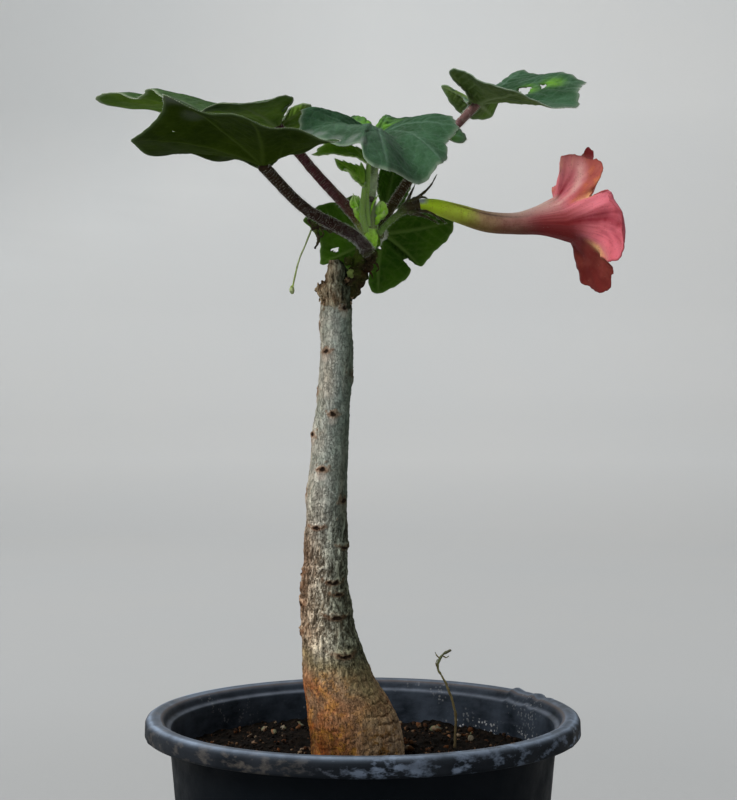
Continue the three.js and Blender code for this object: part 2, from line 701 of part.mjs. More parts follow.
function stamens() {
  const along = (place, [side, lift], splay = 1) => {
    const p = tubeLine.getPoint(place);
    return [p.x, p.y + splay * side, p.z + splay * lift];
  };
  const middle = [0, 0];
  const filament = (offset, i) => {
    const path = FILAMENT.places.map((place, k) => along(place, offset, FILAMENT_SPLAY[k]));
    const head = along(ANTHER.place, offset, FILAMENT_SPLAY.at(-1));
    return join([tapered(path, FILAMENT), lump([...head, ANTHER.size], KNOB_HEIGHT, i)]);
  };
  return join([
    tapered(STYLE.places.map((place) => along(place, middle)), STYLE),
    lump([...along(STYLE.places.at(-1), middle), STIGMA], KNOB_HEIGHT),
    ...STAMENS.map(filament),
  ]);
}

const spentStyle = (extra = 0) =>
  join([
    tapered(SPENT_STYLE.path, SPENT_STYLE, extra),
    lump([...SPENT_STYLE.path.at(-1), SPENT_STIGMA.size + extra], SPENT_STIGMA.length),
  ]);

// ---------------------------------------------------------------- the whole plant

const group = new THREE.Group();

function place(name, solid, [color, roughness]) {
  const material = new THREE.MeshStandardMaterial({ color, roughness, metalness: 0 });
  const mesh = new THREE.Mesh(geometryOf(solid), material);
  mesh.name = name;
  group.add(mesh);
}

const twig = (extra = 0) => tapered(TWIG.path, TWIG, extra);

place("pot", pot(), FINISH.pot);
place("soil", soil([trunk(SEAT), twig(SEAT)]), FINISH.soil);
place("trunk", trunk(), FINISH.trunk);
place("shoot_wood", seat(shootWood(), [trunk(SEAT)]), FINISH.wood);
place("shoot_tip", seat(shootTip(), [shootWood(SEAT)]), FINISH.green);

// Each stalk is cut back to the shoot, to the stalks before it and to its own blade.
const taken = [trunk(SEAT), shootWood(SEAT), shootTip(SEAT)];
for (const leaf of LEAVES) {
  const room = blade(leaf, BLADE + 2 * SEAT);
  place(`leaf_blade_${leaf.name}`, blade(leaf), FINISH.blade);
  place(`leaf_stalk_${leaf.name}`, seat(stalk(leaf), [...taken, room]), FINISH.stalk);
  taken.push(stalk(leaf, SEAT));
}
for (const leaf of YOUNG_LEAVES) {
  place(leaf.name, seat(join([stalk(leaf), blade(leaf)]), taken), FINISH.young);
  taken.push(stalk(leaf, SEAT));
}

place("flower_calyx", seat(calyx(SEPALS, CALYX), [...taken, tubeRoom()]), FINISH.calyx);
place("flower_corolla", corolla(), FINISH.petal);
place("flower_stamens", stamens(), FINISH.stamen);
const spent = seat(calyx(SPENT_SEPALS, SPENT_CALYX), [...taken, spentStyle(SEAT)]);
place("spent_calyx", spent, FINISH.spent);
place("spent_style", spentStyle(), FINISH.stamen);
place("dry_twig", twig(), FINISH.twig);

export default group;
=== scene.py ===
"""A young uncarina in a black nursery pot, dressed for rendering.

Sizes are in millimetres and become metres when a mesh is made. Every surface is a grid of points
worked out from a formula, and every finish is a node material.
"""

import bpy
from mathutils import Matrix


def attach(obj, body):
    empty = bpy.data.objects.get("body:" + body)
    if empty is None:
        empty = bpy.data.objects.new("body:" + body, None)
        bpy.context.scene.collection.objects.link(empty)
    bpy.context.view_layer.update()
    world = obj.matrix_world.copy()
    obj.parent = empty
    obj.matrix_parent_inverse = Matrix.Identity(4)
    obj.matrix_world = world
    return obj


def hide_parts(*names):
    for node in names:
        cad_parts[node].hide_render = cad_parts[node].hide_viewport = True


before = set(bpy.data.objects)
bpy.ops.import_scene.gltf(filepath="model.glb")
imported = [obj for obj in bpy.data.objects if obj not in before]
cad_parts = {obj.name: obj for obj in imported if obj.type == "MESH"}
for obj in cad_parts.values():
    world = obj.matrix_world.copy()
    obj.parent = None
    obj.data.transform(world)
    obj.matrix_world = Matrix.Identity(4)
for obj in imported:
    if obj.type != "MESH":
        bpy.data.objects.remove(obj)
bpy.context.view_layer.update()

import logging
import math
from dataclasses import dataclass, field
from enum import Enum

import bmesh
import bpy
import numpy as np
from mathutils import Vector

LOG = logging.getLogger("uncarina")
MM = 0.001
BODY = "root"

Array = np.ndarray
Point = tuple[float, float, float]
Colour = tuple[float, float, float]
Socket = bpy.types.NodeSocket
Node = bpy.types.Node
Object = bpy.types.Object
Material = bpy.types.Material
Tree = bpy.types.ShaderNodeTree
Mesh = tuple[Array, Array]
Line = tuple[Point, ...]
Stops = tuple[tuple[float, float, float, float], ...]

TURN = 2.0 * math.pi
# Random points of the cell pattern: columns and rows of the table that repeats.
CELL_TABLE = (64, 512)
# A ring number past the last ring of any surface.
NO_RING = 1 << 30
# Shortest and longest wave, as shares of the noise's size.
WAVE_SPREAD = (0.6, 1.6)
# How far in or out a stone's corners move.
STONE_SPREAD = (0.72, 1.2)
# Hairs: scatter of their directions, depth of their roots in mm, spread of their lengths, and the
# bearings of their three corners in radians.
HAIR_SCATTER = 0.28
HAIR_ROOT = 0.1
HAIR_SPREAD = (0.5, 1.4)
HAIR_CORNERS = (0.0, 2.094, 4.189)
# Hairs along the margin of a leaf.
GROWN_HAIRS = 1100
YOUNG_HAIRS = 420


class Slot(Enum):
    """The record's material slots."""

    POT = "pot_plastic"
    SOIL = "soil"
    BARK = "bark"
    WOOD = "young_wood"
    STEM = "green_stem"
    LEAF = "leaf"
    STALK = "leaf_stalk"
    YOUNG = "young_leaf"
    CALYX = "calyx"
    PETAL = "petal"
    STAMEN = "stamen"
    DRY = "dry_calyx"
    TWIG = "dry_twig"


# ------------------------------------------------------------------ number fields


def smoothstep(low: float, high: float, value: Array) -> Array:
    """0 below low, 1 above high, and 3t^2 - 2t^3 between."""
    t = np.clip((value - low) / (high - low), 0.0, 1.0)
    return t * t * (3.0 - 2.0 * t)


def hump(away: Array, width: float, power: int = 2) -> Array:
    """1 in the middle, and falling as exp(-(away / width)^power)."""
    return np.exp(-((away / width) ** power))


def bearings(count: int) -> Array:
    """Angles from +X, evenly round the circle, in radians."""
    return np.linspace(0.0, TURN, count, endpoint=False)


def polar(radius: Array, turn: Array, height: Array) -> Array:
    """Points at a distance and bearing from the vertical axis, and at a height."""
    return np.stack(np.broadcast_arrays(radius * np.cos(turn), radius * np.sin(turn), height), -1)


def unit(vectors: Array) -> Array:
    """Vectors of length one, along the last axis."""
    return vectors / np.maximum(np.linalg.norm(vectors, axis=-1, keepdims=True), 1e-9)


def ripples(points: Array, size: float, seed: int, waves: int = 14) -> Array:
    """Smooth noise between about -1 and 1.

    It is a sum of sine waves in seeded random directions, whose lengths lie round `size`.

    Args:
        points: Places, with x, y and z on the last axis, in mm.
        size: Typical distance between two crests, in mm.
        seed: Seed of the random directions.
        waves: Number of sine waves.

    Returns:
        One value for each place.
    """
    rng = np.random.default_rng(seed)
    directions = unit(rng.normal(size=(waves, 3)))
    lengths = size * rng.uniform(*WAVE_SPREAD, waves)
    phases = rng.uniform(0.0, TURN, waves)
    turns = TURN * (points @ directions.T) / lengths + phases
    return np.sin(turns).sum(axis=-1) * math.sqrt(2.0 / waves) / 1.6


def cells(across: Array, along: Array, seed: int, wrap: int = 0) -> Mesh:
    """Distances to the nearest and second nearest of one seeded random point per unit square.

    Args:
        across: First coordinate, in cells.
        along: Second coordinate, in cells.
        seed: Seed of the random points.
        wrap: Number of cells after which the first coordinate repeats, or 0.

    Returns:
        The two distances, in cells.
    """
    table = np.random.default_rng(seed).uniform(0.1, 0.9, (*CELL_TABLE, 2))
    column, row = np.floor(across).astype(int), np.floor(along).astype(int)
    found = []
    for dx in (-1, 0, 1):
        for dy in (-1, 0, 1):
            key = (column + dx) % wrap if wrap else column + dx
            spot = table[key % CELL_TABLE[0], (row + dy) % CELL_TABLE[1]]
            found.append(np.hypot(column + dx + spot[..., 0] - across, row + dy + spot[..., 1] - along))
    near = np.sort(np.stack(found), axis=0)
    return near[0], near[1]


def curve(points: Array, at: Array, closed: bool = False) -> Array:
    """Uniform Catmull-Rom curve through points.

    Between two points it is the cubic whose slope at each is half the step between its neighbours.

    Args:
        points: Points to pass through, one per row.
        at: Shares of the curve, 0 to 1.
        closed: Whether the curve runs back to its first point.

    Returns:
        One row for each share.
    """
    points = np.asarray(points, float)
    count = len(points)
    place = np.asarray(at, float) * (count if closed else count - 1)
    if closed:
        k = np.floor(place).astype(int)
        rows = [points[(k + step) % count] for step in (-1, 0, 1, 2)]
    else:
        k = np.clip(np.floor(place).astype(int), 0, count - 2)
        ends = np.vstack([2 * points[0] - points[1], points, 2 * points[-1] - points[-2]])
        rows = [ends[k + step] for step in (0, 1, 2, 3)]
    t = (place - k)[..., None]
    a, b, c, d = rows
    return 0.5 * (2 * b + (c - a) * t + (2 * a - 5 * b + 4 * c - d) * t**2 + (3 * b - a - 3 * c + d) * t**3)


# ------------------------------------------------------------------ meshes


def publish(name: str, points: Array, faces: Array, fields: dict[str, Array] | None = None) -> Object:
    """Makes a smooth mesh object of triangles from points in mm.

    Args:
        name: Name of the object.
        points: One row per vertex, in mm.
        faces: One row of three vertex numbers per triangle.
        fields: Named values per vertex, kept as attributes: one number, or three, each.

    Returns:
        The new object, in the scene, with its faces turned outwards.
    """
    corners = points[faces]
    volume = np.einsum("ij,ij->", corners[:, 0], np.cross(corners[:, 1], corners[:, 2]))
    if volume < 0:
        faces = faces[:, ::-1]
    used, faces = np.unique(faces, return_inverse=True)
    faces = faces.reshape(-1, 3)
    points = points[used]
    mesh = bpy.data.meshes.new(name)
    mesh.vertices.add(len(points))
    mesh.vertices.foreach_set("co", (points * MM).astype(np.float32).ravel())
    mesh.loops.add(faces.size)
    mesh.loops.foreach_set("vertex_index", np.ascontiguousarray(faces, np.int32).ravel())
    mesh.polygons.add(len(faces))
    mesh.polygons.foreach_set("loop_start", np.arange(0, faces.size, 3, dtype=np.int32))
    mesh.polygons.foreach_set("use_smooth", np.ones(len(faces), bool))
    mesh.update(calc_edges=True)
    for key, whole in (fields or {}).items():
        values = whole[used]
        kind = "FLOAT_VECTOR" if values.ndim == 2 else "FLOAT"
        layer = mesh.attributes.new(key, kind, "POINT")
        layer.data.foreach_set("vector" if values.ndim == 2 else "value", values.astype(np.float32).ravel())
    mesh.validate()
    obj = bpy.data.objects.new(name, mesh)
    bpy.context.scene.collection.objects.link(obj)
    return obj


def skin_faces(rows: int, columns: int, turn: int) -> Array:
    """Triangles of a pole, `rows` closed rings of `columns` points and a second pole.

    From ring `turn` on, the squares are split along their other diagonal.

    Args:
        rows: Number of closed rings.
        columns: Points in a ring.
        turn: First ring whose squares split the other way.

    Returns:
        Three point numbers for each triangle.
    """
    j = np.arange(columns)
    after = (j + 1) % columns
    last = 1 + rows * columns
    i = np.arange(rows - 1)[:, None]
    a, b = 1 + i * columns + j, 1 + (i + 1) * columns + j
    c, d = 1 + (i + 1) * columns + after, 1 + i * columns + after
    early = (i < turn) & np.ones_like(j, bool)
    one = np.where(early[..., None], np.stack([a, b, c], -1), np.stack([a, b, d], -1))
    two = np.where(early[..., None], np.stack([a, c, d], -1), np.stack([b, c, d], -1))
    end = last - columns
    caps = [
        np.stack([np.zeros(columns, int), 1 + j, 1 + after], -1),
        np.stack([np.full(columns, last), end + after, end + j], -1),
    ]
    return np.concatenate([caps[0], one.reshape(-1, 3), two.reshape(-1, 3), caps[1]])


@dataclass
class Skin:
    """A closed surface of rings between two poles, with named values on it."""

    first: Array
    rings: Array
    last: Array
    fields: dict[str, Array] = field(default_factory=dict)
    turn: int = NO_RING

    def arrays(self) -> tuple[Array, Array, dict[str, Array]]:
        """Points, triangles and values per point. A pole takes the mean of its ring's values.

        Returns:
            Points, triangles, and the values by name.
        """
        rows, columns = self.rings.shape[:2]
        points = np.vstack([self.first, self.rings.reshape(-1, 3), self.last])
        values = {}
        for key, grid in self.fields.items():
            flat = grid.reshape(rows * columns, *grid.shape[2:])
            values[key] = np.concatenate([grid[0].mean(0)[None], flat, grid[-1].mean(0)[None]])
        return points, skin_faces(rows, columns, self.turn), values

    def publish(self, name: str) -> Object:
        """Makes the surface an object."""
        points, faces, values = self.arrays()
        return publish(name, points, faces, values)


def publish_all(name: str, skins: list[Skin]) -> Object:
    """Makes one object of several closed surfaces.

    Args:
        name: Name of the object.
        skins: Its closed surfaces.

    Returns:
        The object.
    """
    parts = [skin.arrays() for skin in skins]
    offsets = np.cumsum([0] + [len(points) for points, _, _ in parts[:-1]])
    points = np.vstack([points for points, _, _ in parts])
    faces = np.vstack([faces + offset for (_, faces, _), offset in zip(parts, offsets)])
    keys = parts[0][2].keys()
    return publish(name, points, faces, {k: np.concatenate([v[k] for _, _, v in parts]) for k in keys})


def ring_normals(pole: Array, rings: Array) -> Array:
    """Unit normals of a pole-and-rings surface: along the columns crossed with along the rows.

    Args:
        pole: The pole before the first ring.
        rings: Points by ring and column.

    Returns:
        A unit normal for each point of the rings.
    """
    padded = np.concatenate([np.broadcast_to(pole, (1, *rings.shape[1:])), rings])
    outward = np.gradient(padded, axis=0)[1:]
    around = np.roll(rings, -1, axis=1) - np.roll(rings, 1, axis=1)
    return unit(np.cross(outward, around))


def sheet(pole: Array, rings: Array, thickness: float, fields: dict[str, Array], up: Array) -> Skin:
    """A thin closed body whose two faces lie half a thickness either side of a middle surface.

    Args:
        pole: Centre of the middle surface.
        rings: Rings round it, out to the margin.
        thickness: Distance between the faces, in mm.
        fields: Named values on the middle surface, given to both faces.
        up: Direction that the upper face looks in, on the whole.

    Returns:
        The body, with a value "under" that is 0 on the upper face and 1 on the lower.
    """
    normals = ring_normals(pole, rings)
    if (normals * up).sum() < 0:
        normals = -normals
    centre = unit(normals[0].mean(0))
    half = np.full(len(rings), thickness / 2)
    half[-1] *= 0.45
    step = normals * half[:, None, None]
    grids = {k: np.concatenate([v, v[::-1]]) for k, v in fields.items()}
    side = np.zeros(rings.shape[:2])
    grids["under"] = np.concatenate([side, side + 1.0])
    return Skin(
        pole + centre * thickness / 2,
        np.concatenate([rings + step, (rings - step)[::-1]]),
        pole - centre * thickness / 2,
        grids,
        len(rings),
    )


def frames(path: Array) -> Mesh:
    """Two directions square to a path at each of its points, from one fixed guide direction.

    Args:
        path: Points of the path.

    Returns:
        Two unit directions for each point.
    """
    tangent = unit(np.gradient(path, axis=0))
    span = unit(path[-1] - path[0])
    guide = np.eye(3)[np.argmin(np.abs(span))]
    first = unit(guide - (tangent @ guide)[:, None] * tangent)
    return first, np.cross(tangent, first)


def rod(
    points: Array, radius: Array, columns: int, rows: int, relief: float, grain: float, seed: int,
    flat: float = 1.0,
) -> Skin:
    """A round stem along a Catmull-Rom path.

    Each ring is a circle square to the path, and its radius varies by smooth noise.

    Args:
        points: Points of the path, in mm.
        radius: Radii, spread evenly along the path, in mm.
        columns: Points round the stem.
        rows: Rings along it.
        relief: Height of the noise, in mm.
        grain: Size of the noise, in mm.
        seed: Seed of the noise.
        flat: Thickness as a share of the width.

    Returns:
        The stem, with a value "along" from 0 at its foot to 1 at its tip.
    """
    t = np.linspace(0.0, 1.0, rows)
    path = curve(points, t)
    first, second = frames(path)
    radii = curve(np.asarray(radius, float)[:, None], t)
    turn = bearings(columns)
    spoke = first[:, None] * np.cos(turn)[:, None] + flat * second[:, None] * np.sin(turn)[:, None]
    bare = path[:, None] + spoke * radii[:, None]
    rings = bare + spoke * (relief * ripples(bare, grain, seed))[..., None]
    tangent = unit(np.gradient(path, axis=0))
    along = np.broadcast_to(t[:, None], rings.shape[:2]).copy()
    return Skin(
        path[0] - tangent[0] * radii[0] * 0.4,
        rings,
        path[-1] + tangent[-1] * radii[-1] * 0.5,
        {"along": along, "under": np.zeros_like(along), "vein": np.zeros_like(along)},
    )


def rods(
    lines: tuple[Line, ...], radii: tuple[float, ...], columns: int, rows: int, relief: float,
    grain: float, seed: int, flat: float = 1.0,
) -> list[Skin]:
    """A rod along each line, each with the next seed."""
    return [rod(line, radii, columns, rows, relief, grain, seed + i, flat) for i, line in enumerate(lines)]


def taper(start: float, end: float) -> Array:
    """Seven radii that run evenly from start to end."""
    return start + (end - start) * np.linspace(0, 1, 7)


def lumps(centres: Array, sizes: Array, rng: np.random.Generator, detail: int = 1) -> Mesh:
    """Small stones: a ball of few faces at each centre, each corner moved in or out at random.

    Args:
        centres: One place per stone, in mm.
        sizes: Three half-lengths per stone, in mm.
        rng: Source of the random draws.
        detail: Subdivisions of the ball: 1 has 20 faces and 2 has 80.

    Returns:
        Points and triangles of all stones.
    """
    ball = bpy.data.meshes.new("ball")
    made = bmesh.new()
    bmesh.ops.create_icosphere(made, subdivisions=detail, radius=1.0)
    made.to_mesh(ball)
    made.free()
    shape = np.empty(3 * len(ball.vertices))
    ball.vertices.foreach_get("co", shape)
    faces = np.empty(3 * len(ball.polygons), int)
    ball.loops.foreach_get("vertex_index", faces)
    bpy.data.meshes.remove(ball)
    shape, faces = shape.reshape(-1, 3), faces.reshape(-1, 3)
    swell = rng.uniform(*STONE_SPREAD, (len(centres), len(shape), 1))
    spins, _ = np.linalg.qr(rng.normal(size=(len(centres), 3, 3)))
    points = np.einsum("nij,nkj->nki", spins, shape * swell * sizes[:, None])
    points += centres[:, None]
    offsets = np.arange(len(centres))[:, None, None] * len(shape)
    return points.reshape(-1, 3), (faces + offsets).reshape(-1, 3)


def hairs(roots: Array, ways: Array, length: float, width: float, count: int, seed: int) -> Mesh:
    """Fine hairs: slim closed spikes of four faces that stand on a surface.

    Args:
        roots: Places on the surface, in mm.
        ways: Unit direction at each place.
        length: Mean length, in mm.
        width: Thickness at the root, in mm.
        count: Number of hairs, drawn from the places.
        seed: Seed of the draw.

    Returns:
        Points and triangles of all hairs.
    """
    rng = np.random.default_rng(seed)
    pick = rng.integers(0, len(roots), count)
    way = unit(ways[pick] + rng.normal(scale=HAIR_SCATTER, size=(count, 3)))
    side = unit(np.cross(way, rng.normal(size=(count, 3))))
    other = np.cross(way, side)
    root = roots[pick] - way * HAIR_ROOT
    reach = length * rng.uniform(*HAIR_SPREAD, (count, 1))
    corners = [root + width * (math.cos(a) * side + math.sin(a) * other) for a in HAIR_CORNERS]
    points = np.stack([*corners, root + way * reach], axis=1)
    faces = np.array([[0, 2, 1], [0, 1, 3], [1, 2, 3], [2, 0, 3]])
    return points.reshape(-1, 3), (np.arange(count)[:, None, None] * 4 + faces).reshape(-1, 3)


def settle(piece: Object, slot: Slot, material: Material, *nodes: str) -> Object:
    """Gives a piece its finish and its place in the frame.

    Args:
        piece: The object.
        slot: The record's slot that its finish stands for; it is not used.
        material: Its finish.
        nodes: CAD nodes that it stands for.

    Returns:
        The same object.
    """
    piece.data.materials.append(material)
    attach(piece, BODY)
    if nodes:
        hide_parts(*nodes)
    LOG.info("%s: %d triangles", piece.name, len(piece.data.polygons))
    return piece


# ------------------------------------------------------------------ finishes


class Graph:
    """A node tree being wired: each method adds a node and returns the socket to read."""

    def __init__(self, tree: Tree) -> None:
        """Starts on an empty or fresh tree."""
        self.tree = tree

    def node(self, kind: str, inputs: dict[str | int, object] | None = None, **settings: object) -> Node:
        """Adds a node. A socket given as an input is linked, and any other value is set.

        Args:
            kind: Type of the node.
            inputs: Sockets or values, by input name or number.
            settings: Values of its properties.

        Returns:
            The node.
        """
        made = self.tree.nodes.new(kind)
        for key, value in settings.items():
            setattr(made, key, value)
        for key, value in (inputs or {}).items():
            if isinstance(value, Socket):
                self.tree.links.new(value, made.inputs[key])
            else:
                made.inputs[key].default_value = value
        return made

    def mix(self, factor: object, one: object, two: object, blend: str = "MIX") -> Socket:
        """Blends two colours."""
        inputs = {0: factor, 6: rgba(one), 7: rgba(two)}
        return self.node("ShaderNodeMix", inputs, data_type="RGBA", blend_type=blend).outputs[2]

    def times(self, one: object, two: object) -> Socket:
        """Multiplies two colours."""
        return self.mix(1.0, one, two, "MULTIPLY")

    def product(self, *values: object) -> object:
        """All the values multiplied.

        Args:
            values: Sockets or numbers.

        Returns:
            Their product.
        """
        total = values[0]
        for value in values[1:]:
            total = self.math("MULTIPLY", total, value)
        return total

    def scaled(self, colour: Socket, factor: object) -> Socket:
        """Brightens or darkens a colour by a number."""
        return self.node("ShaderNodeVectorMath", {0: colour, 3: factor}, operation="SCALE").outputs[0]

    def math(self, operation: str, one: object, two: object = 0.0) -> Socket:
        """One sum on two numbers."""
        return self.node("ShaderNodeMath", {0: one, 1: two}, operation=operation).outputs[0]

    def add(self, one: object, two: object) -> Socket:
        """The sum of two numbers."""
        return self.math("ADD", one, two)

    def remap(self, value: object, low: object, high: object, to: float = 0.0, up: float = 1.0) -> Socket:
        """Stretches low..high to the range from `to` up to `up`, clamped."""
        names = {"Value": value, "From Min": low, "From Max": high, "To Min": to, "To Max": up}
        return self.node("ShaderNodeMapRange", names).outputs[0]

    def span(self, value: object, low: float, high: float) -> Socket:
        """Stretches 0..1 to low..high."""
        return self.remap(value, 0.0, 1.0, low, high)

    def noise(self, vector: Socket, scale: object, detail: float = 4.0, rough: float = 0.55) -> Socket:
        """Cloudy noise about 0.5."""
        names = {"Vector": vector, "Scale": scale, "Detail": detail, "Roughness": rough}
        return self.node("ShaderNodeTexNoise", names).outputs[0]

    def cells(self, vector: Socket, scale: float, feature: str = "F1", output: str = "Distance") -> Socket:
        """Distance to the points, or to the borders, of random cells, or their colour."""
        made = self.node("ShaderNodeTexVoronoi", {"Vector": vector, "Scale": scale}, feature=feature)
        return made.outputs[output]

    def creases(self, vector: Socket, scale: float, width: float) -> Socket:
        """Thin winding lines, where cloudy noise passes through its middle."""
        gap = self.math("ABSOLUTE", self.math("SUBTRACT", self.noise(vector, scale, 3.0, 0.6), 0.5))
        return self.remap(gap, 0.0, width, 1.0, 0.0)

    def stretch(self, vector: Socket, factors: Point) -> Socket:
        """Scales coordinates by axis."""
        return self.node("ShaderNodeMapping", {"Vector": vector, "Scale": factors}).outputs[0]

    def ramp(self, factor: Socket, stops: Stops) -> Socket:
        """A run of colours over 0..1.

        Args:
            factor: Place along the run.
            stops: Place and colour of each stop.

        Returns:
            The colour there.
        """
        made = self.node("ShaderNodeValToRGB", {0: factor})
        points = made.color_ramp.elements
        while len(points) < len(stops):
            points.new(0.5)
        for point, (place, *colour) in zip(points, stops):
            point.position, point.color = place, (*colour, 1.0)
        return made.outputs[0]

    def value(self, name: str) -> Socket:
        """A named number on the mesh."""
        return self.node("ShaderNodeAttribute", attribute_name=name).outputs["Fac"]

    def vector(self, name: str) -> Socket:
        """A named vector on the mesh."""
        return self.node("ShaderNodeAttribute", attribute_name=name).outputs["Vector"]

    def part(self, vector: Socket, axis: str) -> Socket:
        """One coordinate of a vector."""
        return self.node("ShaderNodeSeparateXYZ", {0: vector}).outputs[axis]


def rgba(value: object) -> object:
    """A colour of three numbers with its alpha; anything else as it is."""
    return (*value, 1.0) if isinstance(value, tuple) and len(value) == 3 else value


def group(name: str, inputs: dict[str, float], output: str) -> tuple[Graph, list[Socket], Node]:
    """Starts a shader node group that turns coordinates into a number.

    Args:
        name: Name of the group.
        inputs: Number inputs beside "Vector", with their defaults.
        output: Name of its output.

    Returns:
        The graph, the group's inputs in order and the node that takes its output.
    """
    tree = bpy.data.node_groups.new(name, "ShaderNodeTree")
    tree.interface.new_socket("Vector", in_out="INPUT", socket_type="NodeSocketVector")
    for key, default in inputs.items():
        made = tree.interface.new_socket(key, in_out="INPUT", socket_type="NodeSocketFloat")
        made.default_value = default
    tree.interface.new_socket(output, in_out="OUTPUT", socket_type="NodeSocketFloat")
    graph = Graph(tree)
    given = graph.node("NodeGroupInput").outputs
    return graph, [given[key] for key in ("Vector", *inputs)], graph.node("NodeGroupOutput")


def mottle_group() -> Tree:
    """Cloudy patches: noise cut between two levels, as a mask.

    Returns:
        The node group.
    """
    names = {"Scale": 50.0, "Low": 0.4, "High": 0.6}
    graph, (vector, scale, low, high), result = group("Mottle", names, "Mask")
    cut = graph.remap(graph.noise(vector, scale, 6.0, 0.62), low, high)
    graph.tree.links.new(cut, result.inputs[0])
    return graph.tree


def speckle_group() -> Tree:
    """Small round specks: the middles of random cells, some of them left out, as a mask.

    Returns:
        The node group.
    """
    names = {"Scale": 400.0, "Size": 0.25, "Share": 0.5}
    graph, (vector, scale, size, share), result = group("Speckle", names, "Mask")
    made = graph.node("ShaderNodeTexVoronoi", {"Vector": vector, "Scale": scale})
    spot = graph.math("LESS_THAN", made.outputs["Distance"], size)
    draw = graph.node("ShaderNodeSeparateColor", {0: made.outputs["Color"]}).outputs[0]
    graph.tree.links.new(graph.product(spot, graph.math("LESS_THAN", draw, share)), result.inputs[0])
    return graph.tree


def grain_group() -> Tree:
    """Fine surface grain: two sizes of noise added, as a height.

    Returns:
        The node group.
    """
    graph, (vector, scale), result = group("Grain", {"Scale": 800.0}, "Height")
    fine = graph.noise(vector, scale, 3.0, 0.6)
    coarse = graph.noise(vector, graph.product(scale, 0.22), 2.0, 0.5)
    total = graph.add(graph.product(fine, 0.4), graph.product(coarse, 0.6))
    graph.tree.links.new(total, result.inputs[0])
    return graph.tree


@dataclass(frozen=True)
class Shared:
    """Node groups that several finishes use."""

    mottle: Tree
    speckle: Tree
    grain: Tree


@dataclass(frozen=True)
class Gloss:
    """The shader numbers that are the same all over a finish."""

    roughness: float = 0.6
    specular: float = 0.5
    sheen: float = 0.0
    sheen_tint: Colour = (1.0, 1.0, 1.0)
    sheen_roughness: float = 0.4
    subsurface: float = 0.0
    subsurface_scale: float = 0.001


@dataclass(frozen=True)
class Tint:
    """A tone made of the colour below it, times a colour or a number."""

    by: object

    def over(self, graph: Graph, colour: Socket) -> Socket:
        """The colour times the tint."""
        return (graph.times if isinstance(self.by, tuple) else graph.scaled)(colour, self.by)


class Finish(Graph):
    """A Principled material being wired, with the shared groups at hand."""

    def __init__(self, name: str, shared: Shared, gloss: Gloss) -> None:
        """Makes the material and sets its constants.

        Args:
            name: Name of the material.
            shared: The shared node groups.
            gloss: Its constant values.
        """
        self.material = bpy.data.materials.new(name)
        self.material.use_nodes = True
        super().__init__(self.material.node_tree)
        self.shared = shared
        self.shader = self.tree.nodes["Principled BSDF"]
        for key, value in (
            ("Roughness", gloss.roughness),
            ("Specular IOR Level", gloss.specular),
            ("Sheen Weight", gloss.sheen),
            ("Sheen Tint", (*gloss.sheen_tint, 1.0)),
            ("Sheen Roughness", gloss.sheen_roughness),
            ("Subsurface Weight", gloss.subsurface),
            ("Subsurface Scale", gloss.subsurface_scale),
            ("Subsurface Radius", (1.0, 1.0, 0.4)),
        ):
            self.shader.inputs[key].default_value = value
        self.place = self.node("ShaderNodeTexCoord").outputs["Object"]

    def effect(self, tree: Tree, **inputs: object) -> Socket:
        """Places a shared group with its own values and returns its first output."""
        return self.node("ShaderNodeGroup", inputs, node_tree=tree).outputs[0]

    def mask(self, scale: float, low: float, high: float, vector: Socket | None = None) -> Socket:
        """Cloudy patches: noise cut between two levels."""
        return self.effect(self.shared.mottle, Vector=vector or self.place, Scale=scale, Low=low, High=high)

    def specks(self, scale: float, size: float, share: float) -> Socket:
        """Small round specks, with a share of them kept."""
        return self.effect(self.shared.speckle, Vector=self.place, Scale=scale, Size=size, Share=share)

    def grain(self, scale: float, vector: Socket | None = None) -> Socket:
        """Fine grain, as a height."""
        return self.effect(self.shared.grain, Vector=vector or self.place, Scale=scale)

    def waver(self, value: object, scale: float, reach: float, low: float = 0.3) -> Socket:
        """A number that cloudy noise, from low to 1 - low, moves by up to reach either way."""
        return self.add(value, self.remap(self.noise(self.place, scale), low, 1 - low, -reach, reach))

    def along(self, share: float, vector: Socket | None = None) -> Socket:
        """Coordinates squeezed along Z, which draws patterns out lengthwise."""
        return self.stretch(vector or self.place, (1.0, 1.0, share))

    def layers(self, colour: object, *rows: tuple[object, ...]) -> Socket:
        """Lays tones over a colour, one row after another.

        Args:
            colour: The colour below.
            rows: A tone and its shares, whose product is its strength. A Tint multiplies what is below it.

        Returns:
            The colour on top.
        """
        for tone, *shares in rows:
            if isinstance(tone, Tint):
                tone = tone.over(self, colour)
            colour = self.mix(self.product(*shares), colour, tone)
        return colour

    def finish(
        self, colour: Socket, height: Socket | None = None, depth: float = 0.0,
        roughness: Socket | None = None,
    ) -> Material:
        """Wires colour, bump height (its depth in metres) and roughness, and returns the material.

        Args:
            colour: Base colour.
            height: Height of the bump, if any.
            depth: Depth of the bump, in metres.
            roughness: Roughness, if it varies.

        Returns:
            The finished material.
        """
        link = self.tree.links.new
        link(colour, self.shader.inputs["Base Color"])
        if roughness is not None:
            link(roughness, self.shader.inputs["Roughness"])
        if height is not None:
            bump = self.node("ShaderNodeBump", {"Height": height, "Distance": depth, "Strength": 1.0})
            link(bump.outputs[0], self.shader.inputs["Normal"])
        return self.material


# ------------------------------------------------------------------ pot and soil


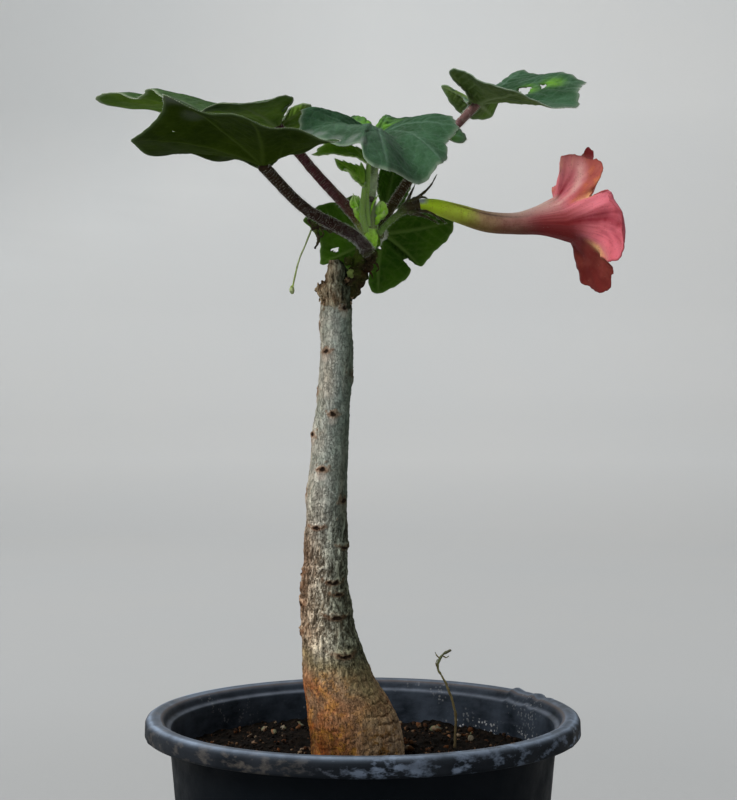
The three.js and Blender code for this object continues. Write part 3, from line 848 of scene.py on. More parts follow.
@dataclass
class Pot:
    """The nursery pot: a thin wall with a rolled rim, a skirt and drain holes."""

    height: float = 130.0
    base_radius: float = 56.0
    wall_top_radius: float = 67.5
    rim_radius: float = 75.5
    skirt: float = 6.0
    wall: float = 1.3
    floor: float = 1.8
    columns: int = 240
    step: float = 1.5
    step_counts: tuple[int, int] = (2, 24)
    drains: int = 8
    drain_radius: float = 4.5
    drain_circle: float = 42.0
    # Bulges of the rim: bearing and width in degrees, and how far they stand out.
    bulges: Line = ((198.0, 1.5, 0.5), (338.0, 1.2, 0.45))

    def outline(self) -> Array:
        """Outside, rim and inside as [radius, height, inside] from the base's middle to the floor's.

        Returns:
            A row of three for each corner.
        """
        h, base, top, rim = self.height, self.base_radius, self.wall_top_radius, self.rim_radius
        wall, floor = self.wall, self.floor
        low = h - 0.4 - self.skirt
        inner = top - wall
        points = [
            (2.0, 0.0, 0), (base - 1.5, 0.0, 0), (base - 0.3, 0.35, 0), (base, 1.5, 0),
            (top, h - 4.4, 0), (top + 0.4, h - 3.4, 0), (top + 1.6, h - 2.7, 0), (rim - 2.2, h - 2.3, 0),
            (rim - wall - 0.1, low + 0.3, 0), (rim - wall + 0.3, low, 0), (rim - 0.3, low, 0),
            (rim, low + 0.4, 0), (rim - 0.2, h - 1.9, 0), (rim - 0.7, h - 0.9, 0), (rim - 1.8, h - 0.2, 0),
            (rim - 3.6, h, 0), (rim - 5.2, h - 0.3, 0.3), (rim - 6.4, h - 1.1, 1), (rim - 7.0, h - 2.5, 1),
            (rim - 7.3, h - 3.2, 1), (inner + 1.5, h - 3.7, 1), (inner + 0.4, h - 4.0, 1),
            (inner, h - 4.9, 1), (base - wall + 0.4, floor + 2.0, 1), (base - wall - 1.6, floor, 1),
            (2.0, floor, 1),
        ]
        return np.array(points, float)

    def refined(self) -> Array:
        """The outline with points added, 2 to 24 a step and at best 1.5 mm apart, its corners kept.

        Returns:
            A row of three for each point.
        """
        points = self.outline()
        steps = np.linalg.norm(np.diff(points[:, :2], axis=0), axis=1)
        counts = np.clip(np.ceil(steps / self.step), *self.step_counts).astype(int)
        runs = [
            points[i] + (points[i + 1] - points[i]) * np.linspace(0, 1, n, endpoint=False)[:, None]
            for i, n in enumerate(counts)
        ]
        return np.vstack([*runs, points[-1:]])

    def build(self) -> Object:
        """Turns the outline about the axis. The rim wavers, bulges and has a torn stretch at the back.

        Returns:
            The pot.
        """
        profile = self.refined()
        turn = bearings(self.columns)
        radius = profile[:, :1] + np.zeros(self.columns)
        height = profile[:, 1:2] + np.zeros(self.columns)
        near_rim = smoothstep(118.0, 128.0, profile[:, 1])[:, None]
        radius = radius + near_rim * (0.35 * np.sin(2 * turn + 0.7) + 0.15 * np.sin(5 * turn))
        bearing = np.degrees(turn)
        torn = hump(bearing - 27.0, 5.5)
        ragged = torn * (0.4 * np.sin(41 * turn) + 0.4 * np.sin(67 * turn + 1.0))
        nub = 1.2 * hump(bearing - 37.0, 0.9)
        height = height + near_rim**3 * (ragged + nub)
        for middle, spread, depth in self.bulges:
            radius = radius + near_rim * depth * hump(bearing - middle, spread)
        inside = profile[:, 2:3] + np.zeros(self.columns)
        ledge = inside * hump(profile[:, 1:2] - 121.5, 0.45)
        ledge = np.maximum(ledge, inside * hump(profile[:, 1:2] - self.height + 3.6, 0.4))
        radius = radius - 0.3 * ledge
        rings = polar(radius, turn, height)
        reach = self.rim_radius - profile[:, :1]
        crest = hump(profile[:, 1:2] - self.height, 1.2) + np.zeros(self.columns)
        # The pale lip band is partly wear and partly a painted highlight, made stronger on the left, towards
        # the key lamp.
        lip = crest * (0.3 + 0.7 * hump(reach - 1.7, 0.8) + 0.35 * hump(reach - 5.0, 0.5))
        lip = lip * (1 + 0.5 * smoothstep(0.2, 0.9, -np.cos(turn)))
        seam = crest * hump(reach - 5.9, 0.5)
        pole = np.zeros(3)
        fields = {"inside": inside, "lip": lip, "ledge": ledge, "seam": seam}
        pot = Skin(pole, rings, pole + (0, 0, self.floor), fields).publish("pot_shell")
        self.drill(pot)
        return pot

    def drill(self, pot: Object) -> None:
        """Cuts the drain holes, evenly round a circle.

        Args:
            pot: The pot, which is changed.
        """
        turns = 2 * np.pi * (np.arange(self.drains) + 0.5) / self.drains
        tool = bpy.data.meshes.new("drills")
        made = bmesh.new()
        for turn in turns:
            ring = bmesh.ops.create_cone(
                made, cap_ends=True, segments=32, depth=0.02,
                radius1=self.drain_radius * MM, radius2=self.drain_radius * MM,
            )
            place = (self.drain_circle * MM * math.cos(turn), self.drain_circle * MM * math.sin(turn), 0.0)
            bmesh.ops.translate(made, verts=ring["verts"], vec=place)
        made.to_mesh(tool)
        made.free()
        cutter = bpy.data.objects.new("drills", tool)
        bpy.context.scene.collection.objects.link(cutter)
        cut = pot.modifiers.new("drains", "BOOLEAN")
        cut.operation, cut.solver, cut.object = "DIFFERENCE", "MANIFOLD", cutter
        bpy.context.view_layer.objects.active = pot
        self.apply(pot, cut)
        bpy.data.objects.remove(cutter)
        bpy.data.meshes.remove(tool)
        pot.data.materials.clear()

    @staticmethod
    def apply(piece: Object, modifier: bpy.types.Modifier) -> None:
        """Applies one modifier to a piece."""
        with bpy.context.temp_override(object=piece, active_object=piece, selected_objects=[piece]):
            bpy.ops.object.modifier_apply(modifier=modifier.name)

    def material(self, shared: Shared) -> Material:
        """Black plastic: a pale lip of wear and painted highlight, brownish and blue-grey scuffs, dust and
        lime inside.

        Args:
            shared: The shared node groups.

        Returns:
            The material.
        """
        f = Finish("pot_plastic", shared, Gloss(specular=0.05))
        right, height = f.part(f.place, "X"), f.part(f.place, "Z")
        inside, skirt = f.value("inside"), f.remap(height, 0.1228, 0.1245)
        broad, clouds = f.mask(34.0, 0.42, 0.6), f.mask(75.0, 0.36, 0.68)
        scuffs, bands = f.mask(170.0, 0.5, 0.62, f.along(2.0)), f.mask(120.0, 0.4, 0.7, f.along(3.0))
        outside = f.layers(
            (0.0035, 0.0055, 0.008),
            ((0.1, 0.085, 0.07), skirt, scuffs, f.remap(right, 0.0, -0.03), 0.7),
            ((0.16, 0.2, 0.27), skirt, scuffs, f.remap(right, -0.02, 0.01), f.span(broad, 0.25, 1)),
            ((0.05, 0.055, 0.065), skirt, f.span(broad, 0.3, 0.1)),
        )
        wall = f.layers(
            (0.006, 0.009, 0.013),
            ((0.035, 0.045, 0.06), clouds),
            ((0.05, 0.06, 0.08), bands, 0.5),
        )
        low_right = f.product(f.remap(right, 0.03, 0.038), f.remap(height, 0.119, 0.116))
        corner = f.math("MULTIPLY", low_right, f.remap(bands, 0.2, 0.5))
        region = f.math("MAXIMUM", corner, f.product(f.mask(60.0, 0.55, 0.62), 0.2))
        colour = f.layers(
            f.mix(inside, outside, wall),
            ((0.16, 0.18, 0.22), f.value("ledge"), f.span(clouds, 0.25, 0.8)),
            # The lip band: partly wear, partly painted highlight.
            ((0.26, 0.32, 0.41), f.value("lip"), f.span(clouds, 0.35, 0.9)),
            ((0.12, 0.085, 0.065), f.value("seam"), 0.8),
            ((0.45, 0.45, 0.45), f.specks(900.0, 0.4, 0.6), region, inside),
        )
        return f.finish(colour, f.grain(900.0), 0.00012, f.span(clouds, 0.45, 0.7))

    def dress(self, shared: Shared) -> None:
        """Builds the pot and gives it its finish."""
        settle(self.build(), Slot.POT, self.material(shared), "pot")


DARK_GRIT: Stops = (
    (0.0, 0.004, 0.003, 0.0025), (0.7, 0.01, 0.007, 0.005), (0.9, 0.05, 0.022, 0.009),
    (1.0, 0.14, 0.08, 0.04),
)
WARM_CRUMBS: Stops = (
    (0.0, 0.006, 0.0045, 0.003), (0.5, 0.018, 0.01, 0.006), (0.75, 0.11, 0.04, 0.014),
    (1.0, 0.26, 0.19, 0.12),
)
PALE_PEBBLES: Stops = (
    (0.0, 0.1, 0.04, 0.015), (0.45, 0.22, 0.1, 0.045), (0.75, 0.26, 0.22, 0.16), (1.0, 0.13, 0.15, 0.075),
)


@dataclass
class Soil:
    """Dark potting mix with grit, bark crumbs and pebbles."""

    level: float = 115.0
    tilt: float = -0.02
    roughness: float = 0.7
    radius: float = 65.3
    foot_radius: float = 50.0
    foot: float = 2.1
    side_top: float = 108.0
    columns: int = 240
    rows: int = 96
    trunk_x: float = -2.0
    grit: int = 1700
    crumbs: int = 420
    pebbles: int = 26
    # Bigger stones with a place of their own: x, y and radius.
    placed: Line = (
        (31, 31, 1.5), (35, 30, 1.2), (39.5, 31, 1.4), (27.5, 47.5, 2.3), (21, 49, 1.4), (-24, 47.5, 1.6),
        (-30, 42, 1.2), (-37, 38, 1.3), (-46, 34, 1.1), (-33, 33, 1.0),
    )

    def surface(self, x: Array, y: Array) -> Array:
        """Height of the soil: a tilt, broad swells, and fine lumps.

        Args:
            x: Places along X, in mm.
            y: Places along Y, in mm.

        Returns:
            Height at each place, in mm.
        """
        swell = np.sin(x / 4.1 + 1) * np.cos(y / 4.7) + 0.6 * np.sin((x + y) / 2.3 + 2)
        place = np.stack([x, y, np.zeros_like(x)], -1)
        fine = 0.45 * ripples(place, 3.2, 5) + 0.3 * ripples(place, 1.5, 6)
        return self.level + self.tilt * x + self.roughness * swell + fine

    def build(self) -> Object:
        """Rings from the middle out over the top, then down the side to a flat foot.

        Returns:
            The bed of soil.
        """
        share = np.linspace(0, 1, self.rows + 1)[1:, None]
        turn = bearings(self.columns)
        x, y = self.radius * share * np.cos(turn), self.radius * share * np.sin(turn)
        top = np.stack([x, y, self.surface(x, y)], -1)
        edge, foot = self.foot_radius, self.foot
        corners = ((self.radius - 0.5, self.side_top), (edge + 1, foot + 3), (edge, foot))
        rings = np.concatenate([top, np.stack([polar(r, turn, z) for r, z in corners])])
        middle = np.array([0.0, 0.0, float(self.surface(np.zeros(1), np.zeros(1))[0])])
        return Skin(middle, rings, np.array([0, 0, self.foot])).publish("soil_bed")

    def scatter(
        self, name: str, count: int, sizes: tuple[float, float], seed: int, flat: float, detail: int
    ) -> Object:
        """Stones on the soil, evenly over its disc and clear of the trunk's foot.

        Args:
            name: Name of the object.
            count: Number of stones drawn, before those under the trunk are left out.
            sizes: Smallest and largest radius, in mm. Small ones are more common.
            seed: Seed of the draw.
            flat: Height of a stone as a share of its width.
            detail: Subdivisions of a stone.

        Returns:
            The stones, as one object.
        """
        rng = np.random.default_rng(seed)
        reach = (self.radius - 2.0) * np.sqrt(rng.uniform(0, 1, count))
        turn = rng.uniform(0, 2 * np.pi, count)
        x, y = reach * np.cos(turn), reach * np.sin(turn)
        size = sizes[0] + (sizes[1] - sizes[0]) * rng.uniform(0, 1, count) ** 2.2
        clear = (np.hypot(x - self.trunk_x, y) > 15.5 + size) & (reach + size < self.radius)
        x, y, size = x[clear], y[clear], size[clear]
        if name == "soil_pebbles":
            x, y, size = (np.concatenate(pair) for pair in zip((x, y, size), np.array(self.placed, float).T))
        lift = self.surface(x, y) + size * rng.uniform(-0.15, 0.5, len(x)) * flat
        wide = rng.uniform(0.8, 1.3, len(x))
        shape = size[:, None] * np.stack(np.broadcast_arrays(wide, 1.0, flat), -1)
        points, faces = lumps(np.stack([x, y, lift], -1), shape, rng, detail)
        return publish(name, points, faces)

    def material(self, shared: Shared) -> Material:
        """Nearly black damp mix with brown crumbs.

        Args:
            shared: The shared node groups.

        Returns:
            The material.
        """
        f = Finish("soil", shared, Gloss(roughness=0.95, specular=0.03))
        colour = f.layers(
            (0.003, 0.0026, 0.0022),
            ((0.013, 0.009, 0.0065), f.mask(420.0, 0.45, 0.62)),
            ((0.008, 0.0065, 0.005), f.mask(70.0, 0.4, 0.65), 0.5),
        )
        return f.finish(colour, f.grain(1100.0), 0.0008)

    def stone_material(self, shared: Shared, name: str, stops: Stops) -> Material:
        """Stones that differ from one another: a coarse cell's own colour picks from a ramp.

        Args:
            shared: The shared node groups.
            name: Name of the material.
            stops: The run of stone colours.

        Returns:
            The material.
        """
        f = Finish(name, shared, Gloss(roughness=0.85, specular=0.06))
        pick = f.cells(f.place, 330.0, "F1", "Color")
        colour = f.ramp(f.node("ShaderNodeSeparateColor", {0: pick}).outputs[1], stops)
        colour = f.layers(colour, ((0.016, 0.011, 0.008), f.mask(600.0, 0.4, 0.7), 0.6))
        return f.finish(colour, f.grain(1800.0), 0.0003)

    def dress(self, shared: Shared) -> None:
        """Builds the bed and three sizes of stone on it.

        Args:
            shared: The shared node groups.
        """
        settle(self.build(), Slot.SOIL, self.material(shared), "soil")
        for name, count, sizes, seed, flat, detail, stops in (
            ("soil_grit", self.grit, (0.35, 0.9), 11, 0.8, 1, DARK_GRIT),
            ("soil_crumbs", self.crumbs, (0.6, 1.5), 12, 0.75, 1, WARM_CRUMBS),
            ("soil_pebbles", self.pebbles, (0.9, 1.8), 13, 0.65, 2, PALE_PEBBLES),
        ):
            stones = self.scatter(name, count, sizes, seed, flat, detail)
            settle(stones, Slot.SOIL, self.stone_material(shared, name, stops))


# ------------------------------------------------------------------ trunk


# Bark colours from foot to top, painted shade from the lit left to the dark right, and the bare wood's
# colours.
BARK_HEIGHT: Stops = (
    (0.0, 0.26, 0.14, 0.065), (0.06, 0.38, 0.2, 0.1), (0.13, 0.47, 0.27, 0.155), (0.17, 0.46, 0.32, 0.2),
    (0.205, 0.36, 0.3, 0.18), (0.24, 0.6, 0.55, 0.44), (0.36, 0.56, 0.51, 0.42), (0.5, 0.58, 0.57, 0.51),
    (0.7, 0.66, 0.68, 0.62), (0.86, 0.76, 0.77, 0.7), (1.0, 0.62, 0.6, 0.5),
)
BARK_PAINTED_SHADE: Stops = (
    (0.0, 0.85, 0.77, 0.68), (0.3, 0.97, 0.93, 0.87), (0.5, 0.82, 0.83, 0.8), (0.7, 0.56, 0.62, 0.58),
    (0.93, 0.26, 0.31, 0.26),
)
BARE_WOOD: Stops = ((0.36, 0.08, 0.066, 0.046), (0.5, 0.46, 0.4, 0.3), (0.64, 0.85, 0.8, 0.66))


@dataclass
class Trunk:
    """The caudex: stations of its axis, its old leaf scars and its bark."""

    stations: Line = (
        (84, -3, 4), (92, -2, 9), (103, -2, 13.5), (112, -2, 16), (120, -2.1, 16.1), (127, -3.3, 15.9),
        (134, -5.4, 14.5), (141, -8.2, 12.7), (147, -9.6, 11.6), (158, -12, 9.6), (169, -12.9, 8.6),
        (180, -13.1, 7.9), (203, -12.8, 7.1), (225, -11.6, 6.3), (247, -9.6, 5.8), (270, -9.2, 5.6),
        (275, -9.4, 5.9), (278, -9.7, 6.1), (280.5, -9.2, 4.4), (284.5, -9, 3.7), (287.6, -9.7, 2.3),
    )
    # Height, bearing from +X in degrees, and how far the scar stands out.
    scars: Line = (
        (271, -59, 0.6), (256, -128, 0.7), (248, -5, 0.9), (242, 180, 0.9), (234, -85, 0.7),
        (227, -159, 0.8), (220, 70, 0.7), (215, -105, 0.8), (207, 180, 1.1), (204, -36, 0.8),
        (195, -115, 0.9), (188, -28, 0.9), (183, 110, 0.8), (179, 180, 1.1), (176, -67, 0.9),
        (174, 178, 0.8), (172, -58, 0.8), (168, -169, 1.0), (164, -68, 1.0), (158, 180, 1.6),
        (151, -67, 1.3), (265, 175, 0.8), (262, 60, 0.7), (239, 120, 0.8), (199, 60, 0.8), (170, 60, 0.9),
        (157, 100, 0.9), (145, 20, 0.7),
    )
    creases: Line = (
        (118, -50, 0.4), (121, -30, 0.5), (124, -45, 0.45), (127.5, -28, 0.6), (131, -38, 0.6),
        (134.5, -30, 0.5), (138, -45, 0.4), (142, -40, 0.35), (120, -140, 0.35), (126, -120, 0.4),
        (133, -130, 0.3), (123, 60, 0.4), (130, 90, 0.4), (137, 70, 0.35), (125, 170, 0.35),
    )
    # Scraps round the collar: x, y, z and radius.
    lumps: tuple[tuple[float, ...], ...] = (
        (-14.7, -0.9, 277.4, 1.5), (-14.1, -1.8, 275.0, 1.1), (-14.0, -1.4, 279.4, 0.9),
        (-13.6, -2.6, 273.4, 0.7), (-4.7, -1.6, 277.2, 0.8), (-4.3, -1.2, 274.8, 0.8),
        (-4.4, -1.6, 272.7, 0.6), (-5.6, -3.4, 280.6, 0.9),
    )
    spikes: tuple[Line, ...] = (
        ((-15.0, -0.8, 277.2), (-16.2, -0.9, 277.0), (-17.0, -0.9, 277.3)),
        ((-14.9, -1.0, 278.4), (-15.6, -1.2, 279.2), (-15.7, -1.3, 280.0)),
        ((-14.2, -1.8, 274.4), (-15.0, -2.0, 273.9), (-15.3, -2.1, 273.2)),
    )
    columns: int = 160
    rows: int = 430
    net_from: float = 141.0
    net_to: float = 198.0
    net_cells: int = 20

    def axis(self, z: Array) -> Mesh:
        """Offset along X and radius at each height, on a smooth curve through the stations.

        Args:
            z: Heights, in mm.

        Returns:
            Offset and radius at each height, in mm.
        """
        table = np.array(self.stations, float)
        share = np.linspace(0, 1, 1200)
        line = curve(table, share)
        return np.interp(z, line[:, 0], line[:, 1]), np.interp(z, line[:, 0], line[:, 2])

    @staticmethod
    def away(bearing: Array, middle: float) -> Array:
        """Angle between bearings, from -180 to 180 degrees."""
        return (bearing - middle + 180.0) % 360.0 - 180.0

    def marks(self, z: Array, bearing: Array, radius: Array) -> dict[str, Array]:
        """Relief and masks of the scars.

        Each is a raised oval with a dark sunken heart. High on the trunk a pale round callus lies
        under it. Where the bark is netted it is a wide, sagging slit under a pale brow.

        Args:
            z: Heights, in mm.
            bearing: Bearings from +X, in degrees.
            radius: Radius of the trunk, in mm.

        Returns:
            The relief and each mask, by name.
        """
        found = {key: np.zeros_like(z) for key in ("relief", "scar", "heart", "callus", "net")}
        for height, middle, size in self.scars:
            across = np.radians(self.away(bearing, middle)) * radius
            up = z - height
            ledge = 1.0 if self.net_from < height < self.net_to else 0.0
            wide = 1.2 + 0.7 * size
            ragged = 0.3 * ripples(np.stack([across, up, 0 * up], -1), 1.7, int(height))
            sag = up + ledge * (0.3 - 0.05 * across**2) + 0.7 * ragged
            oval = np.hypot(across / ((1.15 + 0.6 * ledge) * wide), sag / ((0.7 - 0.3 * ledge) * wide))
            oval = oval * (1 + ragged)
            below = np.hypot(across / (1.05 * wide), (up + 1.35 * wide) / (0.85 * wide))
            callus = (1 - ledge) * np.exp(-(below**4))
            found["relief"] += size * np.exp(-(oval**2)) - 1.2 * size * hump(oval, 0.5)
            found["relief"] += 0.3 * size * callus
            brow = np.exp(-((across / (1.7 * wide)) ** 4) - (((sag - 0.75 * wide) / 0.45) ** 2))
            found["relief"] += 0.5 * ledge * size * brow
            for key, mask in (
                ("net", 0.9 * ledge * brow),
                ("scar", hump(oval, 1.3, 4)),
                ("heart", hump(oval, 0.62 + 0.12 * ledge, 3)),
                ("callus", callus * (size < 1.2)),
            ):
                found[key] = np.maximum(found[key], mask)
        return found

    def build(self) -> Object:
        """Level rings whose radius is the station's plus the bark's relief.

        The relief is the scars, sunken creases round the foot, lengthwise wrinkles, the fibres of
        the bare wood on top, and a net of ridges between two heights: lines where smooth noise
        passes through zero, and borders of random cells, where the two nearest points are equally far.

        Returns:
            The trunk.
        """
        low, high = self.stations[0][0], self.stations[-1][0]
        level = np.concatenate([np.linspace(low, 112, 20)[:-1], np.linspace(112, high, self.rows - 19)])
        turn = bearings(self.columns)
        z, angle = np.meshgrid(level, turn, indexing="ij")
        centre, radius = self.axis(z)
        bearing = np.degrees(angle)
        place = polar(radius, angle, z)
        tall = place * (1.0, 1.0, 0.28)
        bend = 0.55 * ripples(place, 5.0, 41) + 0.3 * ripples(place, 1.9, 42)
        belt = smoothstep(self.net_from - 4, self.net_from + 10, z)
        belt *= 1 - smoothstep(self.net_to - 14, self.net_to + 24, z)
        around = self.net_cells
        near, second = cells(angle / TURN * around + bend, z / 3.6 + bend, 7, around)
        net = 0.5 * hump(second - near, 0.12)
        for size, width, weight, seed in ((6.0, 0.14, 0.9, 45), (3.0, 0.17, 0.65, 46)):
            net = np.maximum(net, weight * hump(ripples(place * (1.0, 1.0, 0.42), size, seed), width))
        net *= belt * (0.8 + 0.35 * ripples(place, 4.0, 43))
        marks = self.marks(z, bearing, radius)
        relief = marks.pop("relief") + 0.55 * (net - 0.35 * belt)
        net = np.maximum(net, marks.pop("net"))
        crease = np.zeros_like(z)
        for height, middle, depth in self.creases:
            wave = 0.5 * np.sin(np.radians(bearing) * 5 + height) + 0.6 * ripples(place, 5.0, 44)
            spread = hump(self.away(bearing, middle), 34.0)
            crease = np.maximum(crease, depth * spread * hump(z - height + wave, 0.34))
        relief -= 0.7 * crease
        upper = smoothstep(195, 215, z)
        relief += (0.16 - 0.06 * upper) * ripples(tall, 3.2, 21) + 0.09 * ripples(place, 1.3, 22)
        relief += 0.22 * ripples(place, 16.0, 23) * smoothstep(118, 150, z)
        bare = smoothstep(271.0, 272.0, z + 0.9 * ripples(place, 3.0, 27))
        top = smoothstep(280, 282, z)
        fibre = ripples(place * (1.0, 1.0, 0.14), 1.1, 25)
        relief += bare * (0.16 * fibre + 0.3 * ripples(place, 2.2, 28) - 0.3 * (1 - top))
        collar = hump(z - 277.5, 2.0) * (1 - top)
        relief += collar * (0.9 * hump(self.away(bearing, 185), 26.0) + 0.5 * ripples(place, 2.4, 24))
        reach = radius + relief
        height = z + top * 0.3 * ripples(place, 2.0, 26)
        rings = np.stack([centre + reach * np.cos(angle), reach * np.sin(angle), height], -1)
        fields = {
            **marks,
            "net": net,
            "bare": bare,
            "crease": crease,
            "fibre": 0.5 + 0.25 * fibre,
            "foot": 1 - smoothstep(140, 150, z + 2 * ripples(place, 7.0, 29)),
            "side": 0.5 + 0.5 * np.cos(angle),
        }
        first = np.array([self.axis(np.array([low]))[0][0], 0, low - 2])
        last = np.array([self.axis(np.array([high]))[0][0], 0, high + 0.4])
        return Skin(first, rings, last, fields).publish("trunk_bark")

    def scraps(self) -> Object:
        """Ragged bits of dead bark round the collar, mostly on the left.

        Returns:
            The bits, as one object.
        """
        lumps = enumerate(self.lumps)
        skins = [ball(place, (r,) * 3, 0.4, 0.9 * r, 110 + i, 14, 18) for i, (*place, r) in lumps]
        skins += rods(self.spikes, (0.55, 0.4, 0.12), 10, 24, 0.12, 0.9, 120)
        for skin in skins:
            one, fibre = np.ones(skin.rings.shape[:2]), 0.42 + 0.3 * ripples(skin.rings, 1.2, 130)
            skin.fields = {"bare": one, "fibre": fibre, "side": 0.25 * one}
        return publish_all("trunk_scraps", skins)

    def material(self, shared: Shared) -> Material:
        """Bark: silver above, netted grey-brown in the middle, rust at the foot, painted shade on the right.

        Args:
            shared: The shared node groups.

        Returns:
            The material.
        """
        f = Finish("bark", shared, Gloss(roughness=0.88, specular=0.05))
        level, foot, net = f.part(f.place, "Z"), f.value("foot"), f.value("net")
        side = f.waver(f.value("side"), 90.0, 0.08)
        smooth = f.remap(level, 0.185, 0.21)
        belt = f.product(f.remap(level, 0.15, 0.158), f.remap(level, 0.185, 0.205, 1.0, 0.0))
        # Painted shade: light on the left, towards the key lamp, darker to the right; mostly even at the
        # foot.
        painted_shade = f.mix(f.product(foot, 0.85), f.ramp(side, BARK_PAINTED_SHADE), (0.84, 0.84, 0.79))
        base = f.layers(
            f.times(f.ramp(f.waver(f.remap(level, 0.112, 0.288), 110.0, 0.022), BARK_HEIGHT), painted_shade),
            (
                (0.52, 0.13, 0.022), f.remap(level, 0.148, 0.138), f.remap(side, 0.5, 0.1, 0.0, 0.8),
                f.mask(140.0, 0.4, 0.58),
            ),
            ((0.72, 0.34, 0.08), foot, f.mask(230.0, 0.5, 0.6), f.remap(side, 0.8, 0.4, 0.1, 0.55)),
            ((0.38, 0.32, 0.15), foot, f.remap(side, 0.5, 0.8, 0.0, 0.6), f.mask(110.0, 0.38, 0.6)),
            # Painted light: paler bark low on the right of the foot, lifting the shade that falls there.
            ((0.75, 0.52, 0.33), f.remap(level, 0.134, 0.124), f.remap(side, 0.4, 0.9, 0.0, 0.8)),
            (
                (0.12, 0.035, 0.01), f.remap(level, 0.13, 0.121), f.remap(side, 0.6, 0.25, 0.0, 0.85),
                f.mask(160.0, 0.3, 0.55),
            ),
            ((0.42, 0.2, 0.03), f.mask(420.0, 0.52, 0.62), f.remap(level, 0.132, 0.123, 0.0, 0.75)),
        )
        tall = f.along(0.3)
        fibres, fleck = f.noise(f.along(0.2), 900.0, 3.0, 0.6), f.noise(f.along(0.6), 1100.0, 4.0, 0.7)
        rough = f.product(f.remap(level, 0.148, 0.155, 0.8, 1.0), f.span(smooth, 1.0, 0.3))
        crease = f.remap(f.value("crease"), 0.08, 0.4)
        crack = f.math("MAXIMUM", f.creases(tall, 520.0, 0.025), f.creases(f.place, 330.0, 0.016))
        base = f.layers(
            f.scaled(base, f.span(f.mask(420.0, 0.42, 0.62, tall), 0.85, 1.15)),
            (Tint((0.75, 0.5, 0.34)), f.mask(130.0, 0.5, 0.66, tall), 0.35),
            (Tint((0.68, 0.54, 0.48)), belt, f.remap(side, 0.38, 0.02)),
            (Tint((0.62, 0.72, 0.7)), smooth, f.mask(190.0, 0.44, 0.66), 0.6),
            (Tint((1.12, 1.14, 1.18)), smooth, f.mask(160.0, 0.5, 0.7, tall)),
            (Tint(f.remap(fibres, 0.36, 0.64, 0.55, 1.42)), f.span(smooth, 0.85, 0.3), f.span(foot, 1, 0.5)),
            (Tint(f.remap(fleck, 0.36, 0.64, 0.55, 1.45)), f.span(smooth, 0.6, 0.35)),
            (Tint((0.22, 0.18, 0.14)), crack, rough, f.span(foot, 0.85, 0.4)),
            # Painted shade: darker in the sunken creases.
            (Tint((0.2, 0.15, 0.1)), crease, f.remap(fleck, 0.36, 0.6, 0.4, 0.95)),
            ((0.03, 0.028, 0.022), f.specks(1000.0, 0.34, 0.4), f.span(smooth, 0.5, 0.25)),
        )
        base = f.layers(
            f.scaled(base, f.remap(net, 0.05, 0.8, 0.85, 1.6)),
            (Tint((0.36, 0.29, 0.23)), f.remap(net, 0.02, 0.25, 1, 0), belt, 0.7),
            # Scar and callus colours take the painted side shade.
            (f.times(painted_shade, (0.4, 0.22, 0.13)), f.value("scar"), 0.85),
            (f.times(painted_shade, (0.78, 0.68, 0.6)), f.value("callus"), 0.6),
            # Dark heart of each sunken scar: partly scar tissue, partly painted shade in the hollow.
            ((0.02, 0.013, 0.009), f.remap(f.value("heart"), 0.2, 0.7, 0, 0.95)),
        )
        fine = f.noise(f.along(0.16), 1300.0, 3.0, 0.65)
        wood = f.ramp(f.add(f.product(fine, 0.7), f.product(f.value("fibre"), 0.3)), BARE_WOOD)
        wood = f.layers(wood, (Tint((0.5, 0.34, 0.25)), f.mask(240.0, 0.48, 0.6), 0.75))
        # The bare wood takes the painted side shade twice over.
        base = f.mix(f.value("bare"), base, f.times(wood, f.times(painted_shade, painted_shade)))
        height = f.math("SUBTRACT", f.add(f.grain(1500.0, tall), fibres), f.product(crack, 0.6))
        return f.finish(base, height, 0.0006)

    def dress(self, shared: Shared) -> None:
        """Builds the trunk and gives it its bark.

        Args:
            shared: The shared node groups.
        """
        bark = self.material(shared)
        settle(self.build(), Slot.BARK, bark, "trunk")
        settle(self.scraps(), Slot.BARK, bark, "trunk")


# ------------------------------------------------------------------ small round forms


def ball(
    centre: Point, sizes: Point, relief: float, grain: float, seed: int, rows: int = 16, columns: int = 22
) -> Skin:
    """A rounded lump: an ellipsoid whose reach varies by smooth noise.

    Args:
        centre: Middle of the lump, in mm.
        sizes: Its three half-lengths, in mm.
        relief: Height of the noise as a share of the half-lengths.
        grain: Size of the noise, in mm.
        seed: Seed of the noise.
        rows: Rings from bottom to top.
        columns: Points round it.

    Returns:
        The lump, with the same fields as a rod.
    """
    tilt = np.linspace(0, np.pi, rows + 2)[1:-1, None]
    way = polar(np.sin(tilt), bearings(columns), -np.cos(tilt))
    size = np.array(sizes, float)
    reach = 1 + relief * ripples(way * size, grain, seed)
    middle = np.array(centre, float)
    flat = np.zeros(way.shape[:2])
    fields = {"along": (1 - np.cos(tilt)) / 2 + flat, "under": flat, "vein": flat.copy()}
    foot, top = middle - (0, 0, size[2]), middle + (0, 0, size[2])
    return Skin(foot, middle + way * reach[..., None] * size, top, fields)


def fur(skins: list[Skin], length: float, width: float, count: int, seed: int) -> Mesh:
    """Hairs all over closed skins, standing square to them.

    Args:
        skins: The surfaces.
        length: Mean length of a hair, in mm.
        width: Its thickness at the root, in mm.
        count: Number of hairs over all skins.
        seed: Seed of the draw.

    Returns:
        Points and triangles of the hairs.
    """
    roots, ways = [], []
    for skin in skins:
        normals = ring_normals(skin.first, skin.rings)
        outward = skin.rings - skin.rings.mean(axis=1, keepdims=True)
        if (normals * outward).sum() < 0:
            normals = -normals
        roots.append(skin.rings.reshape(-1, 3))
        ways.append(unit(normals.reshape(-1, 3)))
    return hairs(np.vstack(roots), np.vstack(ways), length, width, count, seed)


# ------------------------------------------------------------------ leaves


